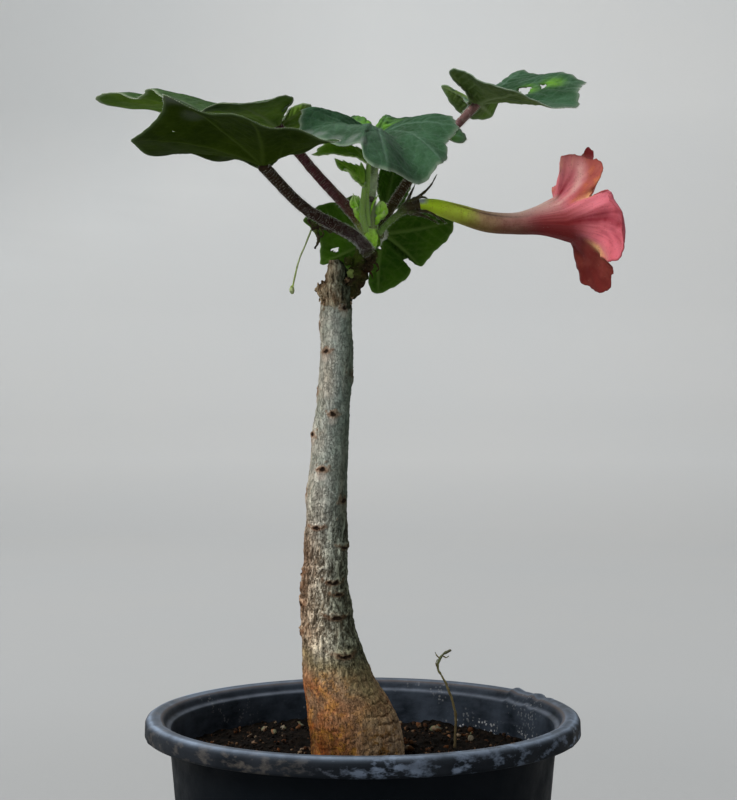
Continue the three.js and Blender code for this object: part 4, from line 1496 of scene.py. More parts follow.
@dataclass(frozen=True)
class LeafLook:
    """Colours of a leaf: its top, its underside, its veins, its downy edge, and its painted glow of light
    shining through.
    """

    top_dark: Colour
    top_light: Colour
    under_dark: Colour
    under_light: Colour
    vein_top: Colour
    vein_under: Colour
    rim: Colour
    # Colour of the painted glow, light shining through the blade.
    glow: Colour = (0.12, 0.27, 0.02)
    specular: float = 0.04
    sheen: float = 0.03

    def material(self, name: str, shared: Shared) -> Material:
        """Felted leaf: mottled faces, pale veins with a fine net between them, a light edge, and painted glow
        and highlight patches.

        Args:
            name: Name of the material.
            shared: The shared node groups.

        Returns:
            The material.
        """
        f = Finish(name, shared, Gloss(0.7, self.specular, self.sheen, (0.85, 0.92, 1.0), 0.4, 0.1, 0.0012))
        flat, vein, cloud = f.vector("flat"), f.value("vein"), f.mask(70.0, 0.36, 0.66)
        mesh = f.remap(f.cells(flat, 520.0, "DISTANCE_TO_EDGE"), 0.0, 0.13, 1.0, 0.0)
        web = f.remap(f.cells(flat, 190.0, "DISTANCE_TO_EDGE"), 0.0, 0.09, 1.0, 0.0)
        lines = f.add(f.product(mesh, 0.16), f.product(web, 0.3))
        top = f.layers(
            f.mix(cloud, self.top_dark, self.top_light),
            (self.top_dark, f.mask(420.0, 0.35, 0.7), 0.3),
            (self.vein_top, lines, 0.4),
            (self.vein_top, vein, 0.6),
        )
        low = f.mix(cloud, self.under_dark, self.under_light)
        low = f.layers(low, (self.vein_under, lines, 0.5), (self.vein_under, vein, 0.75))
        colour = f.layers(
            f.mix(f.value("under"), top, low),
            # Painted glow: light shining through the blade, over its bright spots.
            (self.glow, f.value("glow"), f.mask(160.0, 0.3, 0.62), 0.9),
            # Painted highlight: pale grey sheen where the pale spots lie; the young stalks take an even
            # share.
            ((0.25, 0.27, 0.25), f.value("pale"), 0.7),
            (self.rim, f.specks(3200.0, 0.35, 0.35), 0.1),
            (self.rim, f.value("edge"), 0.75),
        )
        height = f.add(f.product(lines, -0.5), f.product(f.grain(2600.0), 0.8))
        return f.finish(colour, height, 0.00025)


FELT_LEAF = LeafLook(
    (0.014, 0.036, 0.006), (0.032, 0.07, 0.016), (0.013, 0.026, 0.0008), (0.028, 0.05, 0.002),
    (0.07, 0.12, 0.05), (0.05, 0.08, 0.01), (0.12, 0.17, 0.08), specular=0.01, sheen=0.0,
)
DARK_LEAF = LeafLook(
    (0.02, 0.055, 0.01), (0.045, 0.1, 0.025), (0.05, 0.11, 0.007), (0.115, 0.21, 0.018),
    (0.11, 0.18, 0.08), (0.12, 0.18, 0.05), (0.3, 0.36, 0.24), specular=0.02, sheen=0.01,
)
FRONT_LEAF = LeafLook(
    (0.014, 0.048, 0.015), (0.044, 0.112, 0.054), (0.048, 0.092, 0.01), (0.1, 0.165, 0.028),
    (0.11, 0.19, 0.13), (0.2, 0.28, 0.11), (0.28, 0.36, 0.26), (0.13, 0.32, 0.02), 0.04, 0.04,
)
BACK_LEAF = LeafLook(
    (0.013, 0.045, 0.002), (0.034, 0.092, 0.004), (0.017, 0.056, 0.003), (0.044, 0.115, 0.006),
    (0.09, 0.17, 0.035), (0.1, 0.17, 0.035), (0.16, 0.26, 0.08), specular=0.01, sheen=0.0,
)
YOUNG_LEAF = LeafLook(
    (0.11, 0.28, 0.01), (0.24, 0.5, 0.03), (0.09, 0.24, 0.008), (0.2, 0.42, 0.02),
    (0.4, 0.62, 0.12), (0.42, 0.62, 0.16), (0.55, 0.72, 0.35), (0.3, 0.55, 0.03), 0.04, 0.04,
)


@dataclass(frozen=True)
class Place:
    """A round place on a blade.

    `at` is its place round the margin, in margin points, and `share` its place between joint and margin.
    """

    at: float
    share: float
    radius: float


@dataclass(frozen=True)
class Spot(Place):
    """A soft patch of another colour."""

    strength: float = 1.0


@dataclass(frozen=True)
class Hole(Place):
    """A hole that something has eaten, narrowed by `stretch`."""

    stretch: float = 1.0


@dataclass
class Blade:
    """A leaf blade round its joint: straight spokes to a waved and toothed margin."""

    name: str
    joint: Point
    margin: Line
    tips: tuple[int, ...]
    crown: float
    wave: float
    up: Point = (0, 0, 1)
    holes: tuple[Hole, ...] = ()
    # Spots of painted glow, where light shines through the blade.
    painted_glow: tuple[Spot, ...] = ()
    # Spots of painted highlight: pale sheen on the downy blade.
    pale: tuple[Spot, ...] = ()
    frill: float = 0.55
    spokes: int = 300
    rows: int = 38
    point: float = 1.2
    thickness: float = 0.5
    tooth: float = 0.8
    tooth_pitch: float = 4.6
    quilt: float = 0.34
    groove: float = 0.42
    # A point this near a hole's edge moves onto it, within this angle of the hole's middle.
    snap: float = 0.42
    sector: float = 1.2
    seed: int = 1

    def rim(self, u: Array) -> Array:
        """Offset of the margin from the joint at shares u of the way round."""
        return curve(np.array(self.margin, float), np.mod(u, 1.0), closed=True)

    def chart(self) -> tuple[Array, Array, Array]:
        """Table of u, and of the angle swept and the reach there, for laying the blade out flat.

        Returns:
            The shares u, the angles and the reaches.
        """
        u = np.linspace(0, 1, 4 * self.spokes, endpoint=False)
        out = self.rim(u)
        way = unit(out)
        step = np.arccos(np.clip((way[1:] * way[:-1]).sum(-1), -1, 1))
        return u, np.concatenate([[0.0], np.cumsum(step)]), np.linalg.norm(out, axis=-1)

    def laid(self, at: Array) -> Mesh:
        """Angle and reach, laid out flat, at places round the margin in margin points.

        Args:
            at: Places, in margin points.

        Returns:
            Angle and reach at each place.
        """
        u, angle, reach = self.chart()
        share = np.asarray(at) / len(self.margin)
        return np.interp(share, u, angle), np.interp(share, u, reach)

    def veins(self, r: Array, angle: Array) -> Mesh:
        """Strength of the main and of the side veins at flat polar places.

        A main vein is a straight line from the joint to a tip, and narrows on its way. Side
        veins leave it in pairs, bend a little towards the tip, and end half way to the next vein.

        Args:
            r: Distances from the joint, in mm.
            angle: Flat angles.

        Returns:
            Strength of the main veins, and of the side veins.
        """
        middle, length = self.laid(self.tips)
        borders = np.concatenate([[-9.0], (middle[1:] + middle[:-1]) / 2, [99.0]])
        main, side = np.zeros_like(r), np.zeros_like(r)
        for k, (turn, reach) in enumerate(zip(middle, length)):
            away = angle - turn
            along, across = r * np.cos(away), r * np.sin(away)
            facing = np.abs(away) < 1.4
            bend = 0.02 * reach * np.sin(np.pi * np.clip(along / reach, 0, 1)) * (1 if k % 2 else -1)
            width = 0.95 - 0.68 * np.clip(along / reach, 0, 1)
            line = hump(across - bend, width) * facing * smoothstep(1.02, 0.9, along / reach)
            main = np.maximum(main, line)
            own = (angle > borders[k]) & (angle <= borders[k + 1]) & facing
            spread = np.abs(across)
            start = (along - 0.95 * spread - 0.016 * spread**2) / reach + np.where(across > 0, 0.0, 0.055)
            for share in (0.2, 0.4, 0.58, 0.74, 0.88):
                gap = np.abs(start - share) * reach * 0.7
                side = np.maximum(side, hump(gap, 0.38) * own * np.exp(-spread / 26.0))
        return main, side * (1 - main)

    def patch(self, spots: tuple[Spot, ...], r: Array, angle: Array) -> Array:
        """Strength of the spots at flat polar places: each fades out with the fourth power of distance.

        Args:
            spots: The spots.
            r: Distances from the joint, in mm.
            angle: Flat angles.

        Returns:
            Strength at each place, 0 to 1.
        """
        total = np.zeros_like(r)
        for spot in spots:
            turn, reach = self.laid(spot.at)
            gap = np.hypot(r * np.cos(angle - turn) - spot.share * reach, r * np.sin(angle - turn))
            total = np.maximum(total, spot.strength * hump(gap, spot.radius, 4))
        return total

    def skin(self) -> tuple[Skin, Array]:
        """The blade's two faces with its relief, and the squares that the holes take out.

        Returns:
            The closed surface, and a mask of its missing squares.
        """
        u = np.arange(self.spokes) / self.spokes
        share = (np.arange(self.rows) + 1) / self.rows
        s, turn = np.meshgrid(share, u, indexing="ij")
        table_u, table_angle, table_reach = self.chart()
        angle = np.interp(turn, table_u, table_angle)
        r = s * np.interp(turn, table_u, table_reach)
        gone = np.zeros((self.rows - 1, self.spokes), bool)
        for k, hole in enumerate(self.holes):
            middle_angle, middle_reach = self.laid(hole.at)
            middle_r = hole.share * middle_reach
            dx = r * np.cos(angle - middle_angle) - middle_r
            dy = r * np.sin(angle - middle_angle) * hole.stretch
            away, bearing = np.hypot(dx, dy), np.arctan2(dy, dx)
            ragged = np.sin(3 * bearing + k) * 0.16 + np.sin(5 * bearing + 2 * k) * 0.1
            outline = hole.radius * (1 + ragged)
            near = (np.abs(away - outline) < self.snap) & (np.abs(angle - middle_angle) < self.sector)
            scale = np.where(near, outline / np.maximum(away, 1e-6), 1.0)
            x, y = middle_r + dx * scale, dy * scale / hole.stretch
            r = np.where(near, np.hypot(x, y), r)
            angle = np.where(near, middle_angle + np.arctan2(y, x), angle)
            inside = (away * scale <= outline + 1e-6) & (np.abs(angle - middle_angle) < self.sector)
            after = np.roll(inside, -1, axis=1)
            gone |= inside[:-1] & inside[1:] & after[:-1] & after[1:]
        turn = np.interp(angle, table_angle, table_u)
        s = np.minimum(r / np.interp(turn, table_u, table_reach), 1.0)
        out = self.rim(turn)
        reach = np.linalg.norm(out, axis=-1)
        edge_line = self.rim(u)
        length = np.concatenate([[0.0], np.cumsum(np.linalg.norm(np.diff(edge_line, axis=0), axis=-1))])
        run = np.interp(turn, u, length)
        phase = np.mod(run / self.tooth_pitch + 0.18 * np.sin(run / 7.0), 1.0)
        tooth = self.tooth * (np.minimum(phase / 0.72, (1 - phase) / 0.28) - 0.5) * s**6
        for tip in self.tips:
            away = np.abs(run - np.interp(tip / len(self.margin), u, length))
            tooth += self.point * s**6 * np.exp(-away / 1.4)
        line = np.stack([run, 0 * run, 0 * run], -1)
        frill = s**4 * self.frill * ripples(line, 11.0, self.seed + 5)
        swell = 4 * self.crown * s * (1 - s) * reach
        rise = unit(np.array(self.up, float))
        waves = round(len(self.margin) / 2)
        ripple = self.wave * s**3 * np.sin(2 * np.pi * waves * turn)
        lift = swell + ripple + frill
        middle = np.array(self.joint) + out * (s * (1 + tooth / reach))[..., None] + rise * lift[..., None]
        main, side = self.veins(r, angle)
        flat = polar(r, angle, 0.0)
        near, second = cells(flat[..., 0] / 4.2 + 60, flat[..., 1] / 4.2 + 60, self.seed)
        puff = 1 - np.exp(-(second - near) / 0.2)
        calm = smoothstep(0.0, 0.16, s) * smoothstep(1.0, 0.93, s)
        relief = calm * (self.quilt * puff * (1 - side) + 0.2 * ripples(flat, 12.0, self.seed + 3))
        relief -= self.groove * np.maximum(main, 0.75 * side) * smoothstep(1.0, 0.85, s)
        pole = np.array(self.joint, float)
        normals = ring_normals(pole, middle)
        normals = normals * np.sign((normals * rise).sum())
        middle = middle + normals * relief[..., None]
        fields = {
            "vein": np.maximum(main, 0.34 * side),
            "edge": np.exp(-(1 - s) * reach / 0.6),
            # Masks of the painted glow, light shining through, and of the painted highlight.
            "glow": self.patch(self.painted_glow, r, angle),
            "pale": self.patch(self.pale, r, angle),
            "flat": flat * MM,
        }
        return sheet(pole, middle, self.thickness, fields, rise), gone

    def arrays(self) -> tuple[Array, Array, dict[str, Array]]:
        """Points, triangles and fields of the blade, its holes cut and their edges closed.

        The faces of a missing square go on both sides, and a wall of two triangles joins top to
        bottom along each of its edges that borders on a square that stays.

        Returns:
            Points, triangles, and the fields by name.
        """
        skin, gone = self.skin()
        points, faces, fields = skin.arrays()
        if not gone.any():
            return points, faces, fields
        rows, columns = self.rows, self.spokes
        squares = np.zeros((2 * rows - 1, columns), bool)
        squares[: rows - 1] = gone
        squares[rows:] = gone[::-1]
        lost = squares.ravel()
        whole = np.ones(columns, bool)
        faces = faces[np.concatenate([whole, ~lost, ~lost, whole])]
        top = 1 + np.arange(rows * columns).reshape(rows, columns)
        low = 1 + (2 * rows - 1 - np.arange(rows))[:, None] * columns + np.arange(columns)
        kept = ~np.pad(gone, ((1, 1), (0, 0)))
        here = ~kept[1:-1]
        i, j = np.nonzero(here)
        after = (j + 1) % columns
        neighbours = (
            (kept[1:-1][i, (j - 1) % columns], (i, j), (i + 1, j)),
            (kept[2:][i, j], (i + 1, j), (i + 1, after)),
            (kept[1:-1][i, after], (i + 1, after), (i, after)),
            (kept[:-2][i, j], (i, after), (i, j)),
        )
        walls = []
        for open_side, start, end in neighbours:
            p, q, bottom_p, bottom_q = top[start], top[end], low[start], low[end]
            walls.append(np.stack([p, q, bottom_q], -1)[open_side])
            walls.append(np.stack([p, bottom_q, bottom_p], -1)[open_side])
        return points, np.concatenate([faces, *walls]), fields

    def down(self, count: int) -> Mesh:
        """Fine hairs that stand out from the margin.

        Args:
            count: Number of hairs.

        Returns:
            The hairs.
        """
        skin, _ = self.skin()
        rim, inner = skin.rings[self.rows - 1], skin.rings[self.rows - 4]
        return hairs(rim, unit(rim - inner), 0.6, 0.035, count, self.seed + 9)


@dataclass
class Stalk:
    """A leaf stalk: a path, its radii, and the colours from its foot to its top."""

    path: Line
    start: float
    end: float
    look: Stops

    def skin(self, seed: int) -> Skin:
        """The stem, slightly ridged along its length and swollen at its foot.

        Args:
            seed: Seed of its ridges.

        Returns:
            The closed surface.
        """
        steps = np.linspace(0, 1, 9)
        radii = self.start + (self.end - self.start) * steps
        radii = radii * (1 + 0.22 * hump(steps, 0.09) + 0.08 * hump(1 - steps, 0.1))
        return rod(self.path, radii, 28, 84, 0.07, 2.2, seed)


def stem_material(name: str, shared: Shared, stops: Stops) -> Material:
    """Young stem or stalk: a run of colours from foot to tip, lengthwise streaks and pale down.

    Args:
        name: Name of the material.
        shared: The shared node groups.
        stops: The run of colours.

    Returns:
        The material.
    """
    f = Finish(name, shared, Gloss(0.6, 0.05, 0.2, (0.9, 0.88, 0.8), 0.25, 0.05, 0.001))
    colour = f.ramp(f.waver(f.value("along"), 180.0, 0.07, 0.0), stops)
    colour = f.scaled(colour, f.span(f.mask(700.0, 0.35, 0.7), 0.7, 1.25))
    pale = f.mix(0.45, colour, (0.4, 0.42, 0.3))
    colour = f.layers(colour, (pale, f.mask(520.0, 0.4, 0.7), 0.12), (pale, f.specks(2800.0, 0.3, 0.3), 0.08))
    return f.finish(colour, f.grain(2400.0), 0.0003)


def down_material(shared: Shared) -> Material:
    """Plant hair: pale and slightly see-through."""
    f = Finish("down", shared, Gloss(0.6, 0.2, 0.0, (1, 1, 1), 0.4, 0.3, 0.0005))
    return f.finish(f.mix(f.mask(300.0, 0.3, 0.7), DOWN_DARK, DOWN_PALE))


DOWN_PALE = (0.8, 0.84, 0.74)
DOWN_DARK = (0.8 * 0.7, 0.84 * 0.72, 0.74 * 0.66)

# Colours of stems from foot to tip: the five leaf stalks, then the other stems.
PURPLE: Stops = (
    (0.0, 0.05, 0.06, 0.015), (0.08, 0.03, 0.012, 0.01), (0.35, 0.028, 0.008, 0.009),
    (1.0, 0.035, 0.018, 0.009),
)
MAUVE: Stops = (
    (0.0, 0.2, 0.34, 0.03), (0.16, 0.2, 0.24, 0.04), (0.27, 0.1, 0.045, 0.025), (0.5, 0.095, 0.026, 0.035),
    (1.0, 0.08, 0.022, 0.026),
)
TALL: Stops = (
    (0.0, 0.08, 0.1, 0.016), (0.2, 0.055, 0.05, 0.01), (0.4, 0.045, 0.026, 0.01),
    (0.68, 0.05, 0.024, 0.018), (0.8, 0.17, 0.08, 0.08), (1.0, 0.24, 0.12, 0.11),
)
OLIVE: Stops = (
    (0.0, 0.26, 0.36, 0.09), (0.3, 0.36, 0.42, 0.24), (0.45, 0.46, 0.58, 0.34), (0.7, 0.18, 0.28, 0.09),
    (1.0, 0.18, 0.3, 0.09),
)
SHORT: Stops = ((0.0, 0.1, 0.22, 0.015), (1.0, 0.06, 0.1, 0.012))
FRESH: Stops = (
    (0.0, 0.18, 0.4, 0.03), (0.3, 0.42, 0.84, 0.06), (0.7, 0.52, 0.84, 0.18), (1.0, 0.6, 0.76, 0.36),
)
CALYX: Stops = (
    (0.0, 0.15, 0.27, 0.06), (0.45, 0.12, 0.19, 0.05), (0.7, 0.05, 0.04, 0.018), (1.0, 0.045, 0.034, 0.016),
)
STAMENS: Stops = ((0.0, 0.42, 0.45, 0.2), (1.0, 0.5, 0.46, 0.24))
WITHERED: Stops = ((0.0, 0.1, 0.13, 0.03), (0.4, 0.06, 0.045, 0.018), (1.0, 0.035, 0.022, 0.012))
SPENT_STYLE: Stops = ((0.0, 0.34, 0.42, 0.18), (0.6, 0.5, 0.58, 0.3), (1.0, 0.4, 0.52, 0.12))
WEED: Stops = (
    (0.0, 0.09, 0.06, 0.03), (0.5, 0.2, 0.16, 0.07), (0.8, 0.2, 0.22, 0.1), (1.0, 0.1, 0.09, 0.06),
)


@dataclass
class Leaf:
    """A grown leaf: a blade on its stalk."""

    blade: Blade
    stalk: Stalk
    look: LeafLook
    stalk_slot: Slot = Slot.STALK

    def dress(self, shared: Shared) -> None:
        """Builds blade and stalk and gives each its finish.

        Args:
            shared: The shared node groups.
        """
        name = self.blade.name
        piece = publish(f"leaf_{name}", *self.blade.arrays())
        settle(piece, Slot.LEAF, self.look.material(f"leaf_{name}", shared), f"leaf_blade_{name}")
        stem = self.stalk.skin(self.blade.seed).publish(f"stalk_{name}")
        finish = stem_material(f"stalk_{name}", shared, self.stalk.look)
        settle(stem, self.stalk_slot, finish, f"leaf_stalk_{name}")

    def down(self, count: int) -> list[Mesh]:
        """Hairs of the margin and of the stalk."""
        stem = fur([self.stalk.skin(self.blade.seed)], 0.7, 0.045, 3 * count, self.blade.seed + 40)
        return [self.blade.down(count), stem]


# The five grown leaves, with the same joints, margins and paths as the solids.
# The bright spots of each blade are painted glow, light shining through it, and its pale spots a painted
# highlight.
GROWN_LEAVES: tuple[Leaf, ...] = (
    Leaf(
        Blade(
            "front_left", (-32, -45, 314.5),
            (
                (3, 6, 1.5), (8.5, 15, 6), (16, 7, 7), (25, -17, 5.5), (18, -26, 5), (8, -31, 7),
                (-1, -43, 7.5), (-12.5, -39, 10), (-26, -41, 15), (-29.5, -27, 12.5), (-40.5, -13, 6.5),
                (-40.5, 7, 6), (-34, 27, 7.5), (-22, 21, 6), (-13.5, 29, 6), (-4.5, 11, 1.5),
            ),
            (1, 3, 6, 8, 10, 12, 14), 0.05, 1.0, seed=3, holes=(Hole(9.46, 0.78, 0.9),), frill=0.1,
            tooth=0.2, point=0.0, quilt=0.12, groove=0.2,
            pale=(Spot(8.2, 0.93, 5.5, 0.45), Spot(8.6, 0.72, 3.6, 0.2)),
        ),
        Stalk(
            (
                (1.8, -2.2, 290.4), (-0.4, -4.2, 293.6), (-5.5, -9, 297), (-19.5, -24, 303.3),
                (-32, -45, 314.3),
            ),
            2.2, 1.8, PURPLE,
        ),
        FELT_LEAF,
    ),
    Leaf(
        Blade(
            "left", (-30, 5, 335.4),
            (
                (1.5, -5, 1.5), (2.5, -17, 3.5), (6.5, -29, 4.5), (-1, -43, 1.5), (-12.5, -55, -1.5),
                (-21, -51, -2.5), (-27, -39, 0), (-35, -33, 4), (-41.5, -21, 9), (-47.5, -11, 8.5),
                (-56, -3, 11), (-65, 9, 11), (-55.5, 25, 11), (-45, 29, 10), (-33, 39, 9.5), (-17, 45, 8),
                (-4, 33, 4.5), (9, 27, 2.5), (18.5, 15, 2.5), (16, 3, 5.5), (11, -5, 6), (4.5, -3, 5.5),
            ),
            (2, 4, 7, 11, 14, 17, 20), 0.03, 0.8, seed=4, frill=0.4,
            painted_glow=(Spot(18.4, 0.8, 9.0, 0.35), Spot(12.0, 0.9, 9.0, 0.15)),
        ),
        Stalk(((2, 1, 297), (-4, 2, 304.9), (-17, 4, 319.2), (-30, 5, 335.2)), 2.0, 1.7, MAUVE),
        DARK_LEAF,
    ),
    Leaf(
        Blade(
            "front", (4.5, -8, 329.2),
            (
                (-1, 4, 3.5), (-3, 10, 7.5), (-6.5, 16, 10), (-11.5, 16, 8), (-15.5, 2, 4), (-20, -6, 6),
                (-24, -14, 7.5), (-25.5, -20, 2), (-24, -27, -4), (-15, -36, -7), (-6, -44, -8.5),
                (-3.5, -54, -15), (3.5, -54, -18.5), (10, -48, -21), (16, -44, -20.5), (20.5, -40, -14.5),
                (23, -34, -11), (23, -28, -6.5), (26.5, -22, -0.5), (25, -12, 5), (21.5, 0, 6.5),
                (26, 6, 1), (31, 9, 1), (28.5, 16, 6), (20, 23, 9), (12.5, 22, 9), (5, 18, 10.5),
                (1, 10, 7),
            ),
            (3, 8, 12, 15, 18, 22, 26), 0.12, 0.8, seed=5, quilt=0.26,
            painted_glow=(Spot(26.4, 0.5, 8.0, 0.9), Spot(1.6, 0.55, 7.0, 0.8), Spot(22.0, 0.8, 6.0, 0.5)),
            pale=tuple(Spot(at, 0.93, 2.6, 0.55) for at in (7.9, 8.5, 9.1, 9.7, 10.4)),
        ),
        Stalk(((3.4, -1.5, 299), (3.1, -3, 309), (4, -5, 320), (4.5, -8, 329)), 1.3, 1.4, OLIVE),
        FRONT_LEAF, Slot.STEM,
    ),
    Leaf(
        Blade(
            "right", (40.6, 12, 344.8),
            (
                (-3.5, -6, -0.5), (-6.5, -12, 3.5), (-10.5, -20, 7), (-4.5, -30, 4.5), (2, -36, 0),
                (12, -38, -4), (21.5, -34, -6.5), (27, -30, -7.5), (33, -22, -4.5), (35, -12, 2),
                (37.5, -4, 8), (32, 4, 10.5), (25.5, 12, 13.5), (17.5, 18, 14), (10, 22, 11), (10, 24, 5.5),
                (7, 24, 0.5), (-1, 16, -3), (-5.5, 14, -0.5), (-11.5, 10, 7.5), (-5, 4, 3),
            ),
            (2, 5, 7, 10, 13, 16, 19), 0.03, 0.8, seed=6, quilt=0.28,
            holes=(Hole(9.7, 0.45, 2.5, 0.62), Hole(9.9, 0.62, 1.6, 0.6)),
            painted_glow=(Spot(10.1, 0.72, 5.0, 0.95), Spot(9.8, 0.5, 4.6, 0.7), Spot(16.0, 0.8, 6.0, 0.4)),
        ),
        Stalk(
            ((5, 1, 296.5), (8, 3, 303.6), (16.5, 6, 317), (31.5, 14, 335), (40.6, 12, 344.6)),
            1.9, 1.4, TALL,
        ),
        FRONT_LEAF,
    ),
    Leaf(
        Blade(
            "back", (7, 14, 298.5),
            (
                (3.5, 4, 7), (10, 2, 10.5), (17.5, 4, 11), (25.5, 10, 5.5), (24, 14, -0.5), (19, 16, -5),
                (14, 18, -10), (9.5, 16, -7.5), (6.5, 16, -9), (10.5, 16, -12), (6.5, 18, -16.5),
                (-1.5, 20, -20), (-5, 20, -16.5), (-4.5, 18, -8), (-12, 16, -11.5), (-18, 17, -9),
                (-22.5, 18, -9), (-23, 14, -1), (-26, 13, 3), (-28.5, 12, 6.5), (-23.5, 10, 11),
                (-16.5, 8, 12.5), (-9.5, 6, 14), (-3.5, 3, 5),
            ),
            (1, 3, 6, 11, 16, 19, 22), 0.04, 0.8, (0, 1, 0.2), seed=7, tooth=0.5, point=0.4, frill=0.3,
            quilt=0.22,
            holes=(Hole(16.39, 0.76, 2.0, 2.2), Hole(12.2, 0.27, 1.3)),
            painted_glow=(Spot(15.8, 0.95, 5.0, 0.3), Spot(12.6, 0.9, 6.0, 0.25), Spot(19.0, 0.6, 8.0, 0.25)),
        ),
        Stalk(((4, 2, 294.5), (5.5, 6, 296.8), (7, 14, 298.4)), 1.9, 1.6, SHORT),
        BACK_LEAF, Slot.STEM,
    ),
)


@dataclass
class YoungLeaf:
    """A young leaf: blade and stalk of one piece, one soft green."""

    blade: Blade
    path: Line
    look: LeafLook

    def skin(self) -> Skin:
        """The stalk.

        Returns:
            The closed surface.
        """
        stem = rod(self.path, (1.0, 0.95, 0.9), 20, 44, 0.05, 2.0, self.blade.seed)
        stem.fields["vein"] = stem.fields["vein"] + 0.75
        # The stalk takes half of the painted glow, and a share of the pale colour.
        for key, level in (("edge", 0.0), ("glow", 0.5), ("pale", 0.4)):
            stem.fields[key] = np.full(stem.rings.shape[:2], level)
        stem.fields["flat"] = stem.rings * MM
        return stem

    def dress(self, shared: Shared) -> None:
        """Joins blade and stalk in one object.

        Args:
            shared: The shared node groups.
        """
        blade_points, blade_faces, blade_fields = self.blade.arrays()
        stem_points, stem_faces, stem_fields = self.skin().arrays()
        fields = {key: np.concatenate([blade_fields[key], stem_fields[key]]) for key in blade_fields}
        points = np.vstack([blade_points, stem_points])
        faces = np.vstack([blade_faces, stem_faces + len(blade_points)])
        name = self.blade.name
        piece = publish(name + "_fine", points, faces, fields)
        settle(piece, Slot.YOUNG, self.look.material(name, shared), name)

    def down(self, count: int) -> list[Mesh]:
        """Hairs of the margin and of the stalk."""
        return [self.blade.down(count), fur([self.skin()], 0.6, 0.04, count, self.blade.seed + 40)]


SMALL_BLADE = {
    "spokes": 180, "rows": 24, "thickness": 0.45, "tooth": 1.0, "tooth_pitch": 3.1, "quilt": 0.22,
    "groove": 0.3,
}

# The three young leaves at the shoot's tip.
YOUNG_LEAVES: tuple[YoungLeaf, ...] = (
    YoungLeaf(
        Blade(
            "young_leaf_upper", (2, -7, 320.5),
            (
                (0, 2, 3), (-5, 2, 6), (-10, -2, 8), (-14, -6, 6.5), (-18, -11, 2), (-13, -13, 1.5),
                (-9, -12, 1.5), (-4, -8, 1), (-0.5, -3, 0),
            ),
            (2, 4, 6), 0.1, 0.5, seed=11, **SMALL_BLADE,
        ),
        ((1.8, -4.5, 299.5), (1.2, -6, 308), (2, -7, 320.4)), YOUNG_LEAF,
    ),
    YoungLeaf(
        Blade(
            "young_leaf_lower", (0.6, -7.5, 312.5),
            (
                (0.5, 1.5, 3), (-1, 1, 7), (-5, -4, 8), (-9.5, -9, 7.5), (-8, -10, 5), (-6, -10, 4),
                (-4.5, -8, 3), (-3, -6, 1), (-1, -3, 0),
            ),
            (1, 3, 5), 0.1, 0.4, seed=12, **SMALL_BLADE,
        ),
        ((0.9, -5, 297.2), (-0.3, -6.8, 304.5), (0.6, -7.5, 312.4)), YOUNG_LEAF,
    ),
    YoungLeaf(
        Blade(
            "young_leaf_right", (7.5, 9, 306),
            (
                (-1, 1, 4), (-3, 3, 10), (-1, 7, 16), (4, 11, 19), (9, 12, 15), (9.5, 9, 10), (8, 5, 5),
                (5, 2, 1), (1.5, 0, 0),
            ),
            (1, 3, 5), 0.08, 0.5, seed=13, **SMALL_BLADE,
        ),
        ((4.8, 3.5, 299), (6.5, 7, 302.5), (7.5, 9, 305.9)), BACK_LEAF,
    ),
)


# ------------------------------------------------------------------ shoot


